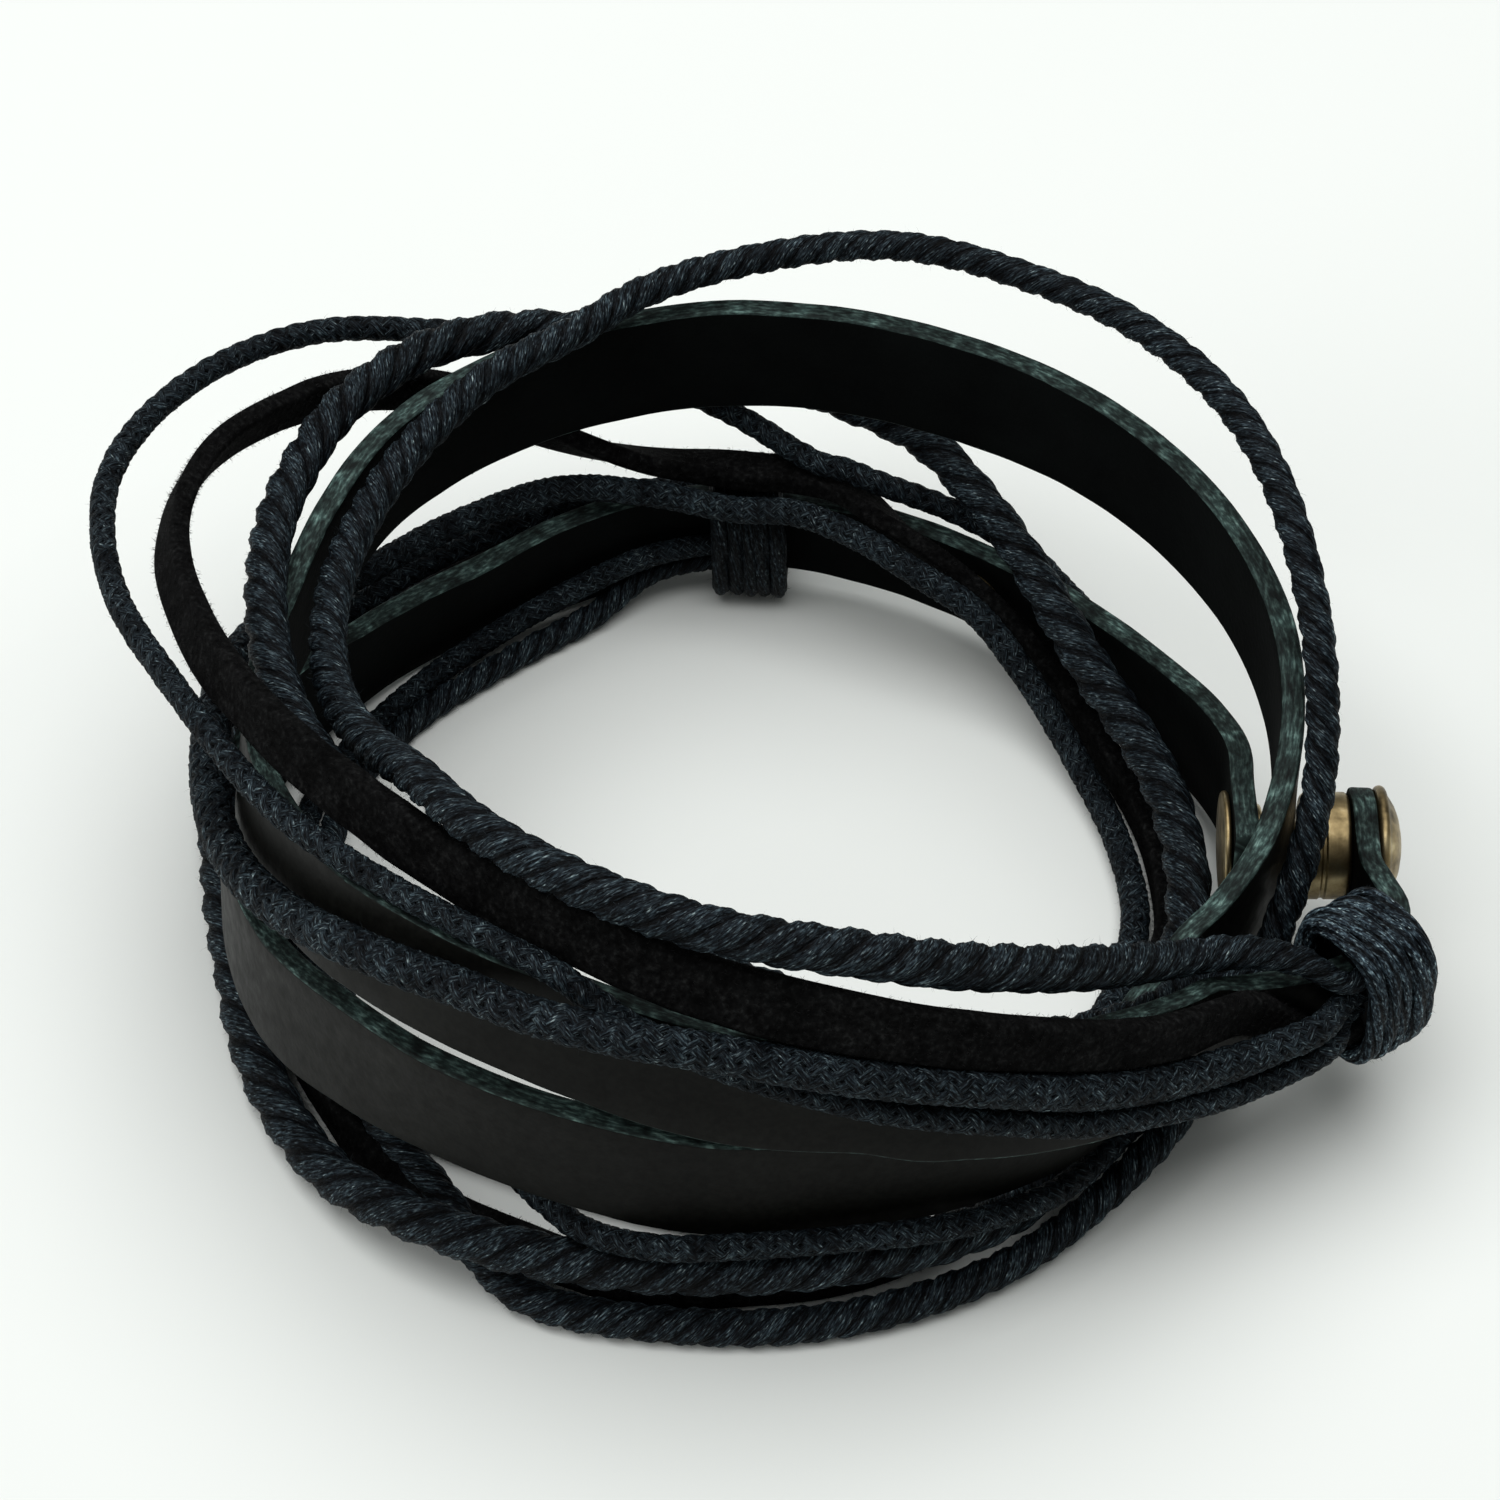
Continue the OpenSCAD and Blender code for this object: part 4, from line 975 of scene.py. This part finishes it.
def hair_material(name, colour):
    """Single fibres."""
    material, tree, shader = new_material(name)
    tint = noise(tree, object_place(tree), scale=900, detail=1)
    paler = tuple(PALER_FIBRE * value for value in colour)
    tree.links.new(ramp(tree, tint, [(0.35, colour), (0.7, paler)]), shader.inputs["Base Color"])
    set_inputs(shader, {"Roughness": 0.7, "Specular IOR Level": 0.15})
    return material


strap_materials = [grain_material(), flesh_material(), edge_material(),
                   hair_material("leather_hair", (0.010, 0.016, 0.015))]
suede_materials = [suede_material()] * 3 + [hair_material("suede_hair", (0.0035, 0.0035, 0.0038))]
cord_hair = hair_material("cord_hair", (0.018, 0.024, 0.028))
# Painted light and shade: the clasp knot's copy is painted brighter, and the inner knot's copy is
# painted into shade.
twisted_materials = [cord_material("twisted_fibres", fibre_turn=12, light=1.0), cord_hair]
braid_materials = [cord_material("braided_fibres", fibre_turn=0, light=0.85), cord_hair]
lit_knot_materials = [cord_material("knot_fibres", fibre_turn=4, light=2.2), cord_hair]
inner_knot_shaded_materials = [cord_material("inner_knot_shaded_fibres", fibre_turn=4, light=0.35), cord_hair]
bronze = bronze_material()


# Pieces

def make_strap():
    surface = Surface()
    lay = lay_flat(surface, STRAP_ROUTE, STRAP_THICKNESS, step=1.2, corner=LEATHER_CORNER, seed=3)
    flat_fuzz(surface, lay, count=5000, length=0.34, lie=0.6, seed=5, edges_only=True)
    surface.build("leather_strap", strap_materials)


def make_lace():
    surface = Surface()
    lay = lay_flat(surface, LACE_ROUTE, LACE_THICKNESS, step=0.9, corner=SUEDE_CORNER, seed=11,
                   wander=SUEDE_WANDER)
    flat_fuzz(surface, lay, count=36000, length=0.5, lie=0.9, seed=13)
    surface.build("suede_lace", suede_materials)


def make_tab(node, route, seed, grain_side):
    surface = Surface()
    lay_flat(surface, route, TAB_THICKNESS, step=0.7, corner=LEATHER_CORNER, seed=seed,
             grain_side=grain_side)
    surface.build(node, strap_materials)


def make_twisted(node, route, lead_share, ply_share, step, hairs, seed):
    surface = Surface()
    path = cord_path(route, step)
    lay_plies(surface, path, 3, lead_share, ply_share, sides=16, seed=seed, yarns=YARNS_PER_PLY)
    cord_nap(surface, path, hairs, longest=1.1, seed=seed)
    surface.build(node, twisted_materials)


def make_braided(node, route, carriers, lead_share, step, hairs, seed):
    surface = Surface()
    path = cord_path(route, step)
    tube(surface, path._replace(radius=path.radius * CORE_SHARE), sides=10, crease_shading=buried)
    lay_braid(surface, path, carriers, lead_share, sides=6, seed=seed)
    cord_nap(surface, path, hairs, longest=1.0, seed=seed)
    surface.build(node, braid_materials)


def make_knot(node, knot, materials, seed):
    """Waxed thread wound round a bundle: each turn is a few threads side by side."""
    surface = Surface()
    path = winding(knot, seed)
    lay_plies(surface, path, plies=4, lead_share=14, ply_share=0.62, sides=10, seed=seed, yarns=0)
    cord_fuzz(surface, path, count=900, length=0.7, lie=1.0, seed=seed + FUZZ_DRAWS)
    fill_knot(surface, knot)
    surface.build(node, materials)


def make_snaps():
    along_x = np.array([1.0, 0, 0])
    along_y = np.array([0, 1.0, 0])
    snap = SNAP_AXIS + RING_MIDDLE
    lathe("snap_cap", SNAP_CAP_PROFILE, snap, along_x, along_y)
    lathe("snap_stud", SNAP_STUD_PROFILE, snap, along_x, along_y)
    turn = math.radians(SPARE_STUD["turn"])
    outward = np.array([math.cos(turn), -math.sin(turn), 0])
    sideways = np.array([math.sin(turn), math.cos(turn), 0])
    spare = SPARE_STUD["radius"] * outward + np.array([0, 0, SPARE_STUD["height"]]) + RING_MIDDLE
    lathe("spare_stud", SPARE_STUD_PROFILE, spare, outward, sideways)


# The stage

def make_floor():
    bpy.ops.mesh.primitive_plane_add(size=4.0, location=(0, 0, 0))
    floor = bpy.context.object
    floor.name = "floor"
    material, _, shader = new_material("pale_floor")
    set_inputs(shader, {"Base Color": (0.80, 0.825, 0.80, 1), "Roughness": 0.85,
                        "Specular IOR Level": 0.2})
    floor.data.materials.append(material)


def make_light():
    """An even pale surrounding, and soft light from above and from the left."""
    world = bpy.data.worlds.new("studio")
    bpy.context.scene.world = world
    world.use_nodes = True
    background = world.node_tree.nodes["Background"]
    set_inputs(background, {"Color": (0.97, 1.0, 0.985, 1), "Strength": 0.25})
    for name, place, aim, width, power in LIGHTS:
        light = bpy.data.lights.new(name, "AREA")
        light.shape = "DISK"
        light.size = width
        light.energy = power
        lamp = add_object(light)
        lamp.location = place
        towards = Vector((np.array(aim) - np.array(place)).tolist())
        lamp.rotation_euler = towards.to_track_quat("-Z", "Y").to_euler()
    bpy.context.scene.view_settings.view_transform = "Standard"


def make_camera():
    tilt = math.radians(ELEVATION)
    right = np.array([1.0, 0, 0])
    rise = np.array([0, math.sin(tilt), math.cos(tilt)])
    forward = np.array([0, math.cos(tilt), -math.sin(tilt)])
    place = RING_MIDDLE + RIGHT_OF_RING * right + ABOVE_RING * rise - CAMERA_DISTANCE * forward
    view = bpy.data.cameras.new("camera")
    view.lens = 122.9
    view.sensor_width = 36
    camera = add_object(view)
    camera.location = (place * MM).tolist()
    camera.rotation_euler = (math.radians(90 - ELEVATION), 0, 0)
    bpy.context.scene.camera = camera


make_strap()
make_lace()
for cord in TWISTED_CORDS:
    make_twisted(*cord)
for cord in BRAIDED_CORDS:
    make_braided(*cord)
make_knot("clasp_knot", CLASP_KNOT, lit_knot_materials, seed=31)
make_knot("inner_knot", INNER_KNOT, inner_knot_shaded_materials, seed=33)
make_tab("outer_tab", OUTER_TAB_ROUTE, seed=41, grain_side=1)
make_tab("inner_tab", INNER_TAB_ROUTE, seed=42, grain_side=-1)
make_snaps()
make_floor()
make_light()
make_camera()
